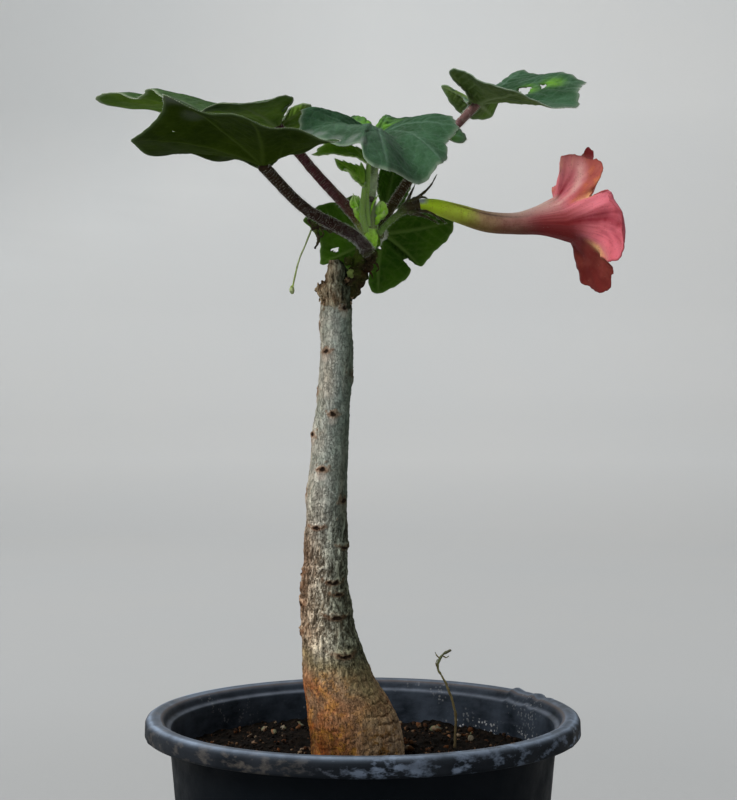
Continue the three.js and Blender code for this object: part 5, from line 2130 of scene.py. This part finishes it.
@dataclass
class Shoot:
    """The new shoot: brown knobbed wood, a green tip and its buds."""

    wood: Line = (
        (-6, 0, 276), (-3, -0.5, 280.5), (-1.2, 0, 284.5), (-0.2, 0, 288), (1.2, 0, 291.5),
    )
    wood_radii: tuple[float, float] = (3.3, 3.4)
    knobs: tuple[tuple[float, ...], ...] = (
        (1.6, -2, 285.5, 2), (-2.4, -3, 282.5, 2.1), (-5, -1.5, 287.6, 1.6), (3.3, 1, 289.2, 1.7),
        (-0.6, -3.1, 288.6, 1.1), (1.0, -3.0, 289.4, 0.9), (-0.2, -3.2, 280.2, 1.0),
        (3.2, -1.6, 287.2, 1.2),
    )
    threads: tuple[Line, ...] = (
        ((2.6, -1.5, 287.4), (4.4, -2.2, 286.6), (5.4, -2.4, 284.8), (4.6, -2.6, 283.6)),
        ((1.9, -2.8, 290.6), (3.6, -3.4, 291.2), (4.9, -3.4, 289.8), (4.2, -3.2, 288.6), (3.2, -3.0, 289.3)),
        ((1.0, -2.0, 284.6), (2.8, -2.8, 282.9), (3.4, -3.0, 281.2)),
        ((-3.6, -3.8, 283.4), (-4.6, -4.4, 281.8), (-4.2, -4.6, 280.6)),
    )
    tip: Line = ((1.2, 0, 290.5), (2.6, 0, 295.5), (3.4, -0.5, 300), (3, -1, 304.5))
    tip_radii: tuple[float, float] = (3.0, 1.3)
    buds: tuple[tuple[float, ...], ...] = ((-2.6, -3, 307, 1.7), (6.4, -2.6, 304.4, 1.9))
    bud_scales: int = 5
    # Small curled bracts round the tip.
    bracts: tuple[Line, ...] = (
        ((0.6, -3.2, 300), (-1.0, -4.6, 304.2), (-2.5, -5.2, 308), (-3.5, -5.2, 310.6)),
        ((0.4, -3.4, 300), (-1.6, -5.0, 302.6), (-2.6, -5.6, 304.6), (-1.7, -6.0, 305.6)),
        ((4.4, -3.2, 300), (6.4, -4.6, 303.4), (7.2, -5.2, 306), (6.2, -5.6, 307.4), (5.0, -5.6, 306.2)),
        ((4.6, -3.0, 300.5), (5.6, -4.8, 302.6), (6.9, -5.4, 303.2), (7.4, -5.8, 304.6)),
        ((2.4, -3.4, 303), (3.2, -4.6, 306.5), (4.6, -5.0, 309), (5.4, -5.0, 310.2)),
        ((1.4, -3.2, 303), (0.2, -4.6, 307), (0.6, -5.2, 310.4), (1.6, -5.4, 312.4)),
    )
    knot: tuple[float, ...] = (2.9, -3.4, 309.2, 1.35)
    sprout: tuple[float, ...] = (-4.2, -4.0, 282.8, 1.3)

    def wood_skins(self) -> list[Skin]:
        """The gnarled stem, its knobs and a few dry threads.

        Returns:
            The closed surfaces.
        """
        stem = rod(self.wood, taper(*self.wood_radii), 56, 70, 0.5, 2.6, 31)
        knobs = [ball(place, (r,) * 3, 0.2, 1.6, 50 + i) for i, (*place, r) in enumerate(self.knobs)]
        return [stem, *knobs, *rods(self.threads, (0.42, 0.34, 0.22), 10, 36, 0.08, 1.2, 60)]

    def tip_skins(self) -> list[Skin]:
        """The green stem, and each bud as a knob wrapped in scales on a short stalk.

        Returns:
            The closed surfaces.
        """
        skins = [rod(self.tip, taper(*self.tip_radii), 44, 64, 0.22, 2.4, 32)]
        root = self.tip[1]
        for i, (x, y, z, size) in enumerate(self.buds):
            middle = ((root[0] + x) / 2 + 0.4 * size * (-1) ** i, (root[1] + y) / 2 - 0.6, (root[2] + z) / 2)
            skins.append(rod((root, middle, (x, y, z)), (0.95, 0.8, 0.75), 14, 26, 0.05, 1.5, 70 + i))
            skins.append(ball((x, y, z), (0.8 * size, 0.8 * size, 1.35 * size), 0.12, 1.2, 80 + i))
            base = np.array([x, y, z - 0.9 * size])
            for k in range(self.bud_scales):
                turn = TURN * (k + 0.4 * i) / self.bud_scales
                side = np.array([math.cos(turn), math.sin(turn), 0.0])
                bulge, tip = side * size * 0.95 + (0, 0, size), side * size * 0.55 + (0, 0, 2.6 * size)
                line = np.stack([base, base + bulge, base + tip])
                skins.append(rod(line, size * np.array([0.32, 0.42, 0.13]), 12, 20, 0.08, 1.0, 90 + k))
        return skins + rods(self.bracts, (0.6, 0.95, 0.8, 0.16), 14, 28, 0.12, 1.0, 97, 0.35)

    def bark(self, shared: Shared) -> Material:
        """Brown wood with green above, rusty clouds and pale specks.

        Args:
            shared: The shared node groups.

        Returns:
            The material.
        """
        f = Finish("shoot_bark", shared, Gloss(0.85, 0.05))
        high = f.remap(f.part(f.place, "Z"), 0.278, 0.288, 0.3, 1.0)
        colour = f.layers(
            (0.009, 0.006, 0.003),
            ((0.05, 0.036, 0.018), f.mask(260.0, 0.38, 0.66)),
            ((0.05, 0.075, 0.01), f.mask(150.0, 0.42, 0.6), high),
            ((0.07, 0.022, 0.009), f.mask(190.0, 0.58, 0.66), 0.3),
            ((0.2, 0.17, 0.1), f.specks(1500.0, 0.34, 0.2), 0.35),
        )
        return f.finish(colour, f.grain(1300.0), 0.0006)

    def dress(self, shared: Shared) -> None:
        """Builds the wood and the tip.

        Args:
            shared: The shared node groups.
        """
        settle(publish_all("shoot_bark", self.wood_skins()), Slot.WOOD, self.bark(shared), "shoot_wood")
        tip = publish_all("shoot_green", self.tip_skins())
        settle(tip, Slot.STEM, stem_material("shoot_green", shared, FRESH), "shoot_tip")
        for name, (x, y, z, size), tone, slot, node in (
            ("shoot_knot", self.knot, (0.2, 0.16, 0.15), Slot.STEM, "shoot_tip"),
            ("shoot_sprout", self.sprout, (0.2, 0.26, 0.07), Slot.WOOD, "shoot_wood"),
        ):
            lump = ball((x, y, z), (size, 0.9 * size, 1.3 * size), 0.16, 1.2, 140)
            stops = ((0.0, *(0.6 * c for c in tone)), (0.6, *tone), (1.0, *tone))
            settle(lump.publish(name), slot, stem_material(name, shared, stops), node)


# ------------------------------------------------------------------ flower


# Colours from the flower's foot to its rim: outside, inside, and painted shade on the underside of the tube.
PETAL_OUTER: Stops = (
    (0.0, 0.66, 1.0, 0.04), (0.1, 0.7, 1.0, 0.05), (0.17, 0.74, 0.92, 0.1), (0.235, 0.66, 0.46, 0.22),
    (0.31, 0.5, 0.24, 0.19), (0.4, 0.42, 0.15, 0.15), (0.48, 0.5, 0.13, 0.14), (0.56, 0.66, 0.16, 0.18),
    (0.74, 0.7, 0.16, 0.2), (1.0, 0.58, 0.11, 0.14),
)
PETAL_INSIDE: Stops = (
    (0.0, 0.25, 0.3, 0.05), (0.45, 0.1, 0.01, 0.02), (0.56, 0.22, 0.02, 0.04), (1.0, 0.6, 0.14, 0.18),
)
PETAL_PAINTED_SHADE: Stops = ((0.1, 0.16, 0.17, 0.012), (0.28, 0.12, 0.055, 0.02), (0.42, 0.07, 0.012, 0.014))


@dataclass
class Corolla:
    """The trumpet: a bent tube that opens into five crinkled lobes."""

    y: float = -5.0
    tube: Line = (
        (19, 306.7, 1.6), (25, 306, 2.4), (33, 303.6, 3), (43, 300.7, 3.4), (53, 300.1, 3.6),
        (61, 300.9, 5), (69.3, 301.2, 8.4),
    )
    axis: Point = (0.917, 0.0, 0.396)
    arch: float = 0.3
    start: float = 65.0
    # Round the throat, five points a lobe: a bay, then four points of the lobe's edge.
    edge: Line = (
        (8, -8, 7), (13, -17, 9), (14.5, -22, 3), (18, -24, -9), (14, -19, -16),
        (12, -12, -14), (15.3, -9, -18), (14.8, -4, -24.8), (7.2, 2, -22.5), (6.3, 8, -16),
        (8, 11, -10), (17, 17, -13), (22, 24, -4), (20, 23, 6), (15, 17, 11),
        (11, 10, 10), (13, 12, 15), (11.5, 11, 20), (10, 9, 27.5), (5, 9, 18),
        (-3.2, 1, 11), (-0.2, -3, 15.3), (-1.4, -5, 21), (5.4, -4, 22.2), (12.9, -7, 17.4),
    )
    # Middle, width and depth of each dark vein across a lobe, as shares of it.
    lobe_veins: Line = (
        (0.6, 0.07, 1.0), (0.47, 0.036, 0.8), (0.72, 0.03, 0.6), (0.36, 0.02, 0.5), (0.83, 0.02, 0.4),
        (0.53, 0.014, 0.7), (0.65, 0.014, 0.6),
    )
    columns: int = 280
    tube_rows: int = 38
    limb_rows: int = 34
    thickness: float = 0.45

    def line(self, t: Array) -> Mesh:
        """Middle line of the tube at shares t, and its radius.

        Args:
            t: Shares of the length of the tube.

        Returns:
            Points of the middle line, and the radius at each.
        """
        found = curve(np.array(self.tube, float), t)
        middle = np.stack([found[..., 0], np.full(found.shape[:-1], self.y), found[..., 1]], -1)
        return middle, found[..., 2]

    def skin(self) -> Skin:
        """Tube and lobes as one sheet.

        A tube ring is a circle square to the middle line, whose axis turns towards the throat's.
        From the throat a limb point runs straight to its point of the edge, and at the sides first
        bows out along the axis. Veins run lengthwise and fan out in the lobes.

        Returns:
            The closed surface.
        """
        bearing = np.radians(self.start) + 2 * np.pi * np.arange(self.columns) / self.columns
        t = np.linspace(0.0, 1.0, self.tube_rows)
        middle, radius = self.line(t)
        ahead, _ = self.line(np.minimum(t + 0.01, 1.0))
        behind, _ = self.line(np.maximum(t - 0.01, 0.0))
        tangent = unit(ahead - behind)
        turned = (smoothstep(0, 1, t) ** 3)[:, None]
        axis = unit(tangent * (1 - turned) + np.array(self.axis) * turned)
        up = np.stack([-axis[:, 2], 0 * t, axis[:, 0]], -1)
        side = np.array([0.0, -1.0, 0.0])
        spoke = up[:, None] * np.cos(bearing)[:, None] + side * np.sin(bearing)[:, None]
        ridges = 0.06 * np.cos(10 * bearing) * smoothstep(0.5, 1.0, t)[:, None]
        tube = middle[:, None] + spoke * (radius[:, None] + ridges)[..., None]
        throat, centre = tube[-1], middle[-1]
        u = np.arange(self.columns) / self.columns
        edge = curve(np.array(self.edge, float), u, closed=True) + centre
        s = (np.arange(self.limb_rows) + 1)[:, None] / self.limb_rows
        bow = 4 * self.arch * np.sin(bearing) ** 2 * s * (1 - s) * np.linalg.norm(edge - throat, axis=-1)
        limb = throat + (edge - throat) * s[..., None] + np.array(self.axis) * bow[..., None]
        lobe = np.mod(u * 5, 1.0)
        fold = hump(lobe - 0.5, 0.09) * np.sin(np.pi * s) * 0.8
        length = np.concatenate([[0.0], np.cumsum(np.linalg.norm(np.diff(edge, axis=0), axis=-1))])
        run = np.stack([length, 0 * length, 0 * length], -1)
        crinkle = s**2.5 * (0.75 * ripples(run, 8.5, 71) + 0.3 * ripples(run, 3.6, 72))
        ragged = s**8 * (0.45 * ripples(run, 2.2, 73) + 0.5 * ripples(run, 6.0, 74))
        fan = np.sin(2 * np.pi * 45 * u + 3 * np.sin(2 * np.pi * 5 * u))
        whole = np.concatenate([tube, limb])
        normals = ring_normals(whole[0].mean(0), whole)
        rib = 0.016 * fan * smoothstep(0.0, 0.3, s) * (1 - 0.9 * s)
        puff = 0.35 * ripples(limb, 6.5, 75) * np.sin(np.pi * np.clip(s, 0, 1)) ** 0.5
        lift = crinkle + fold + rib + puff
        outward = unit(edge - throat)
        limb = limb + normals[self.tube_rows :] * lift[..., None] + outward * ragged[..., None]
        along = np.concatenate([t, 1 + s[:, 0]])[:, None] + np.zeros(self.columns)
        near_bay = np.minimum(lobe, 1 - lobe)
        veins = np.zeros_like(along)
        for spot, width, depth in self.lobe_veins:
            away = lobe - 0.5 - (spot - 0.5) * (0.35 + 0.65 * np.clip(along - 1, 0, 1))
            veins = np.maximum(veins, depth * hump(away, width))
        reach = np.clip(along - 1, 0, 1)
        aside = lobe - 0.78 + 0.21 * reach
        upper = (u >= 0.8) * smoothstep(0.85, 1.1, along)
        rib = hump(aside, 0.04) * upper * (1 - smoothstep(1.75, 1.95, along))
        dark_half = smoothstep(0.02, 0.09, aside) * upper * smoothstep(1.05, 1.35, along)
        degrees = np.mod(np.degrees(bearing), 360.0)
        line = hump(degrees - 24 - 52 * along, 6.5) * smoothstep(0.2, 0.34, along)
        flat = np.zeros_like(along)
        fields = {
            "along": along / 2,
            "vein": fan + flat,
            "bay": hump(near_bay, 0.1) + flat,
            # Painted shade: the lower lobe, facing down, away from the light.
            "lower_lobe_shade": hump(5 * u - 1.5, 0.56, 8) + flat,
            "rise": 0.5 + 0.5 * np.cos(bearing) + flat,
            "wine": veins * smoothstep(0.7, 1.1, along) * (1 - 0.75 * smoothstep(1.5, 1.95, along)),
            "line": line * (1 - smoothstep(0.6, 0.85, along)),
            "rib": rib,
            "dark_half": dark_half,
            "fan": polar(8, bearing, along * 4),
        }
        facing = np.concatenate([spoke, 0 * limb])
        whole = np.concatenate([tube, limb])
        return sheet(middle[0] - tangent[0] * 0.8, whole, self.thickness, fields, facing)

    def material(self, shared: Shared) -> Material:
        """Lime at the foot, mauve-brown along the tube, rose and salmon lobes, wine veins, painted highlights
        and shade.

        Args:
            shared: The shared node groups.

        Returns:
            The material.
        """
        f = Finish("petal", shared, Gloss(0.6, 0.06, 0.08, (1.0, 0.85, 0.85), 0.4, 0.12, 0.0015))
        along, rise, fan, back = f.value("along"), f.value("rise"), f.vector("fan"), f.value("dark_half")
        ahead, level = f.part(f.place, "X"), f.part(f.place, "Z")
        limb, upper = f.remap(along, 0.42, 0.52), f.remap(level, 0.311, 0.322)
        tube = f.product(f.remap(along, 0.45, 0.3), f.remap(along, 0.12, 0.2, 0.15, 1.0))
        cloth, streak = f.mask(0.55, 0.4, 0.66, f.along(0.5, fan)), f.mask(3.2, 0.52, 0.64, f.along(0.1, fan))
        outer = f.layers(
            f.ramp(f.waver(along, 140.0, 0.02), PETAL_OUTER),
            # Painted highlight: a pale bluish gleam on the upper side of the tube's foot.
            ((0.5, 0.56, 0.66), f.remap(along, 0.055, 0.025), f.remap(rise, 0.45, 0.7), 0.85),
            (Tint((0.62, 0.5, 0.5)), f.mask(420.0, 0.42, 0.6), tube, 0.6),
            ((0.85, 0.3, 0.36), cloth, limb, 0.3),
            ((0.26, 0.02, 0.045), streak, f.span(limb, 0.2, 0.25)),
        )
        inside = f.layers(f.ramp(along, PETAL_INSIDE), ((0.3, 0.03, 0.07), streak, 0.4))
        wine = f.product(f.value("wine"), f.remap(f.noise(f.place, 160.0), 0.35, 0.6, 0.6, 1.0))
        # Painted shade: the lower lobe's mask, on the limb only.
        dim = f.product(f.value("lower_lobe_shade"), f.remap(along, 0.5, 0.6))
        glow = f.product(f.value("bay"), f.remap(along, 0.6, 0.84), f.remap(along, 0.95, 1.0, 1, 0.5))
        # Painted shade: the underside of the tube, facing away from the light.
        low = f.product(
            f.remap(rise, 0.62, 0.12), f.remap(along, 0.08, 0.2, 0.25, 1.0), f.remap(along, 0.52, 0.66, 1, 0)
        )
        deep = f.product(f.remap(along, 0.34, 0.43), f.remap(along, 0.5, 0.6, 1, 0), f.remap(rise, 0.8, 0.5))
        felt = f.product(f.remap(rise, 0.6, 0.95), f.remap(along, 0.2, 0.3), f.remap(along, 0.46, 0.56, 1, 0))
        tip = f.product(f.remap(level, 0.322, 0.3255), f.remap(ahead, 0.0765, 0.078))
        orange = f.product(back, f.mask(0.7, 0.5, 0.66, f.along(0.4, fan)), f.mask(260.0, 0.35, 0.6))
        crest = f.product(upper, limb)
        colour = f.layers(
            f.mix(f.value("under"), outer, inside),
            # Painted highlight: lighter rose high on the limb.
            ((1.0, 0.42, 0.4), upper, f.remap(along, 0.5, 0.62), 0.6),
            ((0.48, 0.1, 0.075), back, 0.88),
            ((0.8, 0.24, 0.06), orange, 0.85),
            ((0.45, 0.09, 0.07), crest, f.mask(150.0, 0.52, 0.64, f.along(0.4)), 0.22),
            ((1.0, 0.6, 0.4), crest, f.mask(1.15, 0.5, 0.66, f.along(0.22, fan)), f.span(back, 0.5, 0.15)),
            ((0.2, 0.005, 0.016), wine, f.span(upper, 0.95, 0.05)),
            ((1.0, 0.6, 0.52), f.value("rib"), f.mask(220.0, 0.25, 0.55), 0.6),
            ((0.36, 0.08, 0.07), f.remap(level, 0.3185, 0.3235), limb, 0.55),
            # Painted shade over the lower lobe, then lighter patches within it.
            ((0.2, 0.026, 0.02), dim, 0.97),
            ((0.33, 0.075, 0.055), dim, f.mask(170.0, 0.45, 0.62), 0.55),
            ((0.95, 0.56, 0.22), glow, f.mask(190.0, 0.3, 0.6), 0.85),
            # Painted shade on the underside of the tube.
            (f.ramp(along, PETAL_PAINTED_SHADE), low, 0.85),
            ((0.24, 0.014, 0.012), deep, 0.6),
            ((0.1, 0.03, 0.012), f.value("line"), f.remap(f.noise(f.place, 500.0), 0.3, 0.6, 0.4, 1), 0.9),
            ((0.62, 0.48, 0.4), felt, 0.6),
            ((0.25, 0.03, 0.03), f.remap(along, 0.975, 1.0), 0.6),
            ((0.3, 0.012, 0.02), tip, 0.85),
            ((0.2, 0.03, 0.03), f.specks(1300.0, 0.36, 0.4), 0.2),
        )
        return f.finish(colour, f.add(f.product(f.value("vein"), 0.12), f.grain(2200.0)), 0.00025)


@dataclass
class Flower:
    """The open flower: corolla, calyx on its stalk, style and stamens."""

    corolla: Corolla = field(default_factory=Corolla)
    stalk: Line = (
        (5.5, -2, 297), (8.7, -4, 300.4), (12.5, -5, 303.6), (15.8, -5, 305.8), (19.5, -5, 306.8),
    )
    stalk_radii: tuple[float, ...] = (1.1, 1.1, 1.3, 2.3, 2.2)
    sepals: tuple[Line, ...] = (
        ((15.5, -6, 307.5), (19, -7.5, 309), (23, -8, 312.5), (25.5, -8, 316.8)),
        ((15.3, -4, 307.5), (16.5, -3, 310.5), (18.3, -2.5, 314.5)),
        ((17.5, -4, 308.6), (20.5, -3, 309.6), (23, -2, 308.8)),
        ((16, -6, 304), (22.5, -8, 303.8), (29, -9, 299.6)),
        ((16, -3.5, 304), (21.5, -2, 303), (26.5, -1.5, 300.5)),
    )
    style_reach: float = 0.93
    stamens: tuple[tuple[float, float], ...] = ((0.9, 0.9), (-0.9, 0.9), (0.9, -0.9), (-0.9, -0.9))

    def calyx_skins(self) -> list[Skin]:
        """The stalk, swelling into the calyx, and its slender sepals.

        Returns:
            The closed surfaces.
        """
        sepals = rods(self.sepals, (0.8, 0.46, 0.12), 12, 36, 0.05, 1.6, 34)
        for sepal in sepals:
            sepal.fields["along"] = 0.62 + 0.38 * sepal.fields["along"]
        return [rod(self.stalk, self.stalk_radii, 30, 60, 0.08, 1.8, 33), *sepals]

    def within(self, t: float, side: float = 0.0, lift: float = 0.0) -> Array:
        """A place in the tube: on its middle line at share t, moved aside and up."""
        return self.corolla.line(np.array([t]))[0][0] + (0, side, lift)

    def stamen_skins(self) -> list[Skin]:
        """The style down the tube's middle, and four filaments with their anthers.

        Returns:
            The closed surfaces.
        """
        reach = self.style_reach
        style = rod([self.within(t) for t in (0.05, 0.3, 0.6, reach)], (0.5, 0.45), 12, 40, 0.03, 2.0, 41)
        skins = [style, ball(self.within(reach), (1.0, 0.9, 0.8), 0.12, 1.2, 42, 14, 18)]
        for i, (side, lift) in enumerate(self.stamens):
            wide = (1.2 * side, 1.2 * lift)
            path = [self.within(0.08), self.within(0.3, side, lift), self.within(0.62, *wide)]
            skins.append(rod(path, (0.42, 0.36), 10, 30, 0.02, 2.0, 43 + i))
            skins.append(ball(self.within(0.63, *wide), (1.1, 0.6, 0.6), 0.1, 1.0, 47 + i, 12, 16))
        return skins

    def dress(self, shared: Shared) -> None:
        """Builds corolla, calyx and stamens.

        Args:
            shared: The shared node groups.
        """
        petals = self.corolla.skin().publish("corolla")
        settle(petals, Slot.PETAL, self.corolla.material(shared), "flower_corolla")
        calyx = publish_all("calyx", self.calyx_skins())
        settle(calyx, Slot.CALYX, stem_material("calyx", shared, CALYX), "flower_calyx")
        stamens = publish_all("style_and_stamens", self.stamen_skins())
        settle(stamens, Slot.STAMEN, stem_material("stamens", shared, STAMENS), "flower_stamens")


@dataclass
class SpentFlower:
    """What is left of an older flower: a dry calyx and a hanging style."""

    stalk: Line = (
        (2.4, 1, 294.6), (-1.5, 6, 295.4), (-6, 10.5, 297.2), (-11, 14, 300), (-15, 16, 301.5),
        (-17.8, 16.5, 300.6),
    )
    radii: tuple[float, ...] = (1, 0.9, 0.8, 0.8, 1.4, 1.2)
    sepals: tuple[Line, ...] = (
        ((-15, 15, 302), (-16.5, 13, 304), (-15, 11.5, 304.8)),
        ((-17, 16, 301.5), (-19.5, 15, 303), (-18.5, 14.5, 305)),
        ((-17, 16, 300), (-16, 15, 296.5), (-17.3, 14.5, 293.2)),
    )
    # Shrivelled scraps that curl round the calyx.
    curls: tuple[Line, ...] = (
        (
            (-13.4, 14.5, 301), (-11.6, 13.4, 302.4), (-10.4, 13, 300.4), (-11.6, 12.8, 298.8),
            (-13, 13, 299.6),
        ),
        ((-15.5, 15, 300.5), (-14.2, 13.6, 298.4), (-15.2, 13, 297.2), (-16.4, 13.2, 298.2)),
        ((-16.6, 15.4, 302), (-18.4, 14.4, 301.4), (-18.0, 14, 299.6)),
    )
    style: Line = (
        (-18.7, 16.5, 300.1), (-20.8, 16.5, 294.7), (-23.3, 16.3, 288.5), (-25.6, 16, 278.5),
    )

    def dress(self, shared: Shared) -> None:
        """Builds the dry calyx and the style with its stigma.

        Args:
            shared: The shared node groups.
        """
        skins = [rod(self.stalk, self.radii, 22, 60, 0.16, 1.6, 51)]
        skins += rods(self.sepals, (0.85, 0.6, 0.32), 12, 36, 0.1, 1.2, 52)
        skins += rods(self.curls, (0.38, 0.3, 0.2), 10, 44, 0.08, 1.0, 56)
        calyx = publish_all("spent_calyx_dry", skins)
        settle(calyx, Slot.DRY, stem_material("spent_calyx", shared, WITHERED), "spent_calyx")
        bulb = ball(self.style[-1], (0.95, 0.9, 1.4), 0.14, 1.3, 62, 18, 22)
        thread = [rod(self.style, (0.34, 0.3, 0.34), 16, 90, 0.03, 2.0, 61), bulb]
        style = publish_all("spent_style_thread", thread)
        settle(style, Slot.STAMEN, stem_material("spent_style", shared, SPENT_STYLE), "spent_style")


@dataclass
class Twig:
    """A dry weed stem that stands in the soil."""

    path: Line = (
        (32.1, 14, 106), (32.9, 14, 118), (32.9, 14, 127.4), (30, 14, 136.7), (26.8, 14, 143),
        (28.2, 14, 147.6), (31.4, 14, 149.5),
    )
    tufts: tuple[Line, ...] = (
        ((26.8, 14, 143), (26.0, 13.4, 144.8), (26.6, 13.2, 146.4)),
        ((27.6, 14, 146.6), (26.4, 14.6, 147.4), (25.8, 14.9, 148.6)),
        ((28.2, 14, 147.6), (29.6, 13.2, 147.0), (30.6, 12.8, 147.6)),
    )

    def dress(self, shared: Shared) -> None:
        """Builds the stem and its ragged top.

        Args:
            shared: The shared node groups.
        """
        stem = rod(self.path, (0.5, 0.46, 0.42, 0.42, 0.5, 0.4), 12, 110, 0.12, 2.2, 65)
        twig = publish_all("weed_stem", [stem, *rods(self.tufts, (0.3, 0.24, 0.14), 8, 24, 0.05, 1.0, 66)])
        settle(twig, Slot.TWIG, stem_material("weed_stem", shared, WEED), "dry_twig")


# ------------------------------------------------------------------ studio


@dataclass
class Studio:
    """Camera, lamps, and a pale floor that rises into a wall all round."""

    eye: Point = (1.9, -580.0, 239.0)
    focal_pixels: float = 1660.0
    long_side_pixels: float = 800.0
    sensor: float = 36.0
    floor_radius: float = 2300.0
    cove: float = 900.0
    wall: float = 1800.0
    columns: int = 96
    # Distance along the floor and up the cove, and how much lighter the backdrop is there.
    gains: tuple[tuple[float, float], ...] = (
        (500, 0.9), (800, 0.98), (1300, 1.01), (1750, 1.04), (2300, 1.08), (2770, 1.12), (2930, 1.02),
        (3085, 0.98), (3240, 0.97), (3400, 1.0), (3560, 1.04), (3714, 1.1),
    )
    # Direction that each lamp's light comes from, and its strength in watts per square metre.
    key: tuple[Point, float] = ((-0.8, -0.42, 0.85), 2.72)
    back: tuple[Point, float] = ((-0.15, 0.8, 0.75), 0.8)
    sky: Colour = (0.93, 0.97, 1.0)
    sky_strength: float = 0.33
    # Light that the backdrop has from the sky, lying flat, and how much more it has standing upright.
    sky_light: tuple[float, float] = (0.28, 0.13)

    def camera(self) -> None:
        """A level camera that looks along +Y."""
        data = bpy.data.cameras.new("camera")
        data.sensor_width = self.sensor
        data.lens = self.focal_pixels / self.long_side_pixels * self.sensor
        data.clip_start, data.clip_end = 0.01, 30.0
        camera = bpy.data.objects.new("camera", data)
        camera.location = [v * MM for v in self.eye]
        camera.rotation_euler = (math.pi / 2, 0.0, 0.0)
        bpy.context.scene.collection.objects.link(camera)
        bpy.context.scene.camera = camera

    def lamp(
        self, name: str, origin: Point, strength: float, spread: float, tint: Colour = (1, 1, 1)
    ) -> None:
        """Soft, even light from far away.

        Args:
            name: Name of the lamp.
            origin: Direction that the light comes from.
            strength: Its strength, in watts per square metre.
            spread: Width of the source as seen from the plant, in degrees.
            tint: Its colour.
        """
        data = bpy.data.lights.new(name, "SUN")
        data.angle, data.energy, data.color = math.radians(spread), strength, tint
        lamp = bpy.data.objects.new(name, data)
        lamp.rotation_euler = (-Vector(origin)).to_track_quat("-Z", "Y").to_euler()
        bpy.context.scene.collection.objects.link(lamp)

    def backdrop(self, shared: Shared) -> None:
        """A disc whose edge curves up, a quarter circle, into an upright wall.

        Its tone is the wished brightness over the lamps' light at each slope, so that it looks even.

        Args:
            shared: The shared node groups.
        """
        flat = np.linspace(60, self.floor_radius, 30)
        bend = np.linspace(0, np.pi / 2, 31)[1:]
        edge = self.floor_radius
        radius = np.concatenate([flat, edge + self.cove * np.sin(bend), [edge + self.cove]])
        height = np.concatenate([0 * flat, self.cove * (1 - np.cos(bend)), [self.wall]])
        turn = bearings(self.columns)
        rings = polar(radius[:, None], turn, height[:, None])
        tilt = np.concatenate([0 * flat, bend, [np.pi / 2]])[:, None] + 0 * turn
        normals = polar(-np.sin(tilt), turn, np.cos(tilt))
        light = self.sky_light[0] + self.sky_light[1] * (1 - normals[..., 2])
        for origin, strength in (self.key, self.back):
            light = light + strength / np.pi * np.maximum(normals @ unit(np.array(origin, float)), 0.0)
        wanted = 0.49 + 0.11 * smoothstep(20.0, 420.0, rings[..., 2])
        run = np.minimum(np.hypot(rings[..., 0], rings[..., 1]), self.floor_radius) + self.cove * tilt
        wanted = wanted * np.interp(run, *np.array(self.gains).T) * (1 - rings[..., 0] / 6500.0)
        tone = np.clip(wanted / light, 0.0, 0.92)
        points, faces, fields = Skin(np.zeros(3), rings, np.zeros(3), {"tone": tone}).arrays()
        floor = publish("floor", points, faces[: -len(turn)], fields)
        f = Finish("backdrop", shared, Gloss(0.9, 0.1))
        cloth = f.mix(f.mask(1.6, 0.3, 0.7), (1.0, 1.0, 0.985), (0.97, 0.985, 0.985))
        floor.data.materials.append(f.finish(f.scaled(cloth, f.value("tone")), f.grain(900.0), 0.0002))

    def world(self) -> None:
        """An even pale sky."""
        world = bpy.data.worlds.new("studio")
        world.use_nodes = True
        sky = world.node_tree.nodes["Background"]
        sky.inputs["Color"].default_value = (*self.sky, 1.0)
        sky.inputs["Strength"].default_value = self.sky_strength
        bpy.context.scene.world = world

    def dress(self, shared: Shared) -> None:
        """Sets up the whole studio.

        Args:
            shared: The shared node groups.
        """
        self.camera()
        self.lamp("key", *self.key, 40.0)
        self.lamp("back", *self.back, 50.0, (0.95, 0.98, 1.0))
        self.backdrop(shared)
        self.world()
        view = bpy.context.scene.view_settings
        view.view_transform = "Standard"
        view.look = "None"
        view.exposure = 0.0


def down_pieces(flower: Flower, shared: Shared) -> None:
    """Hairs of leaves and stalks, of the shoot's tip, and of the flower.

    Args:
        flower: The open flower.
        shared: The shared node groups.
    """
    pale = down_material(shared)
    for leaf in GROWN_LEAVES:
        settle(publish(f"down_{leaf.blade.name}", *merged(leaf.down(GROWN_HAIRS))), Slot.LEAF, pale)
    parts = [hair for leaf in YOUNG_LEAVES for hair in leaf.down(YOUNG_HAIRS)]
    parts.append(fur(Shoot().tip_skins(), 0.55, 0.028, 1600, 91))
    settle(publish("down_shoot", *merged(parts)), Slot.STEM, pale)
    parts = [
        fur(flower.calyx_skins(), 0.6, 0.028, 1500, 92),
        fur([flower.corolla.skin()], 0.35, 0.022, 1800, 93),
    ]
    settle(publish("down_flower", *merged(parts)), Slot.CALYX, pale)


def merged(parts: list[Mesh]) -> Mesh:
    """Joins lists of points and triangles."""
    offsets = np.cumsum([0] + [len(points) for points, _ in parts[:-1]])
    return np.vstack([p for p, _ in parts]), np.vstack([f + o for (_, f), o in zip(parts, offsets)])


def main() -> None:
    """Builds every sub-assembly in order."""
    logging.basicConfig(level=logging.INFO, format="%(name)s: %(message)s")
    shared = Shared(mottle_group(), speckle_group(), grain_group())
    Studio().dress(shared)
    Pot().dress(shared)
    Soil().dress(shared)
    Trunk().dress(shared)
    Shoot().dress(shared)
    for leaf in (*GROWN_LEAVES, *YOUNG_LEAVES):
        leaf.dress(shared)
    flower = Flower()
    flower.dress(shared)
    SpentFlower().dress(shared)
    Twig().dress(shared)
    down_pieces(flower, shared)
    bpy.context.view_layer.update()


if __name__ == "__main__":
    main()
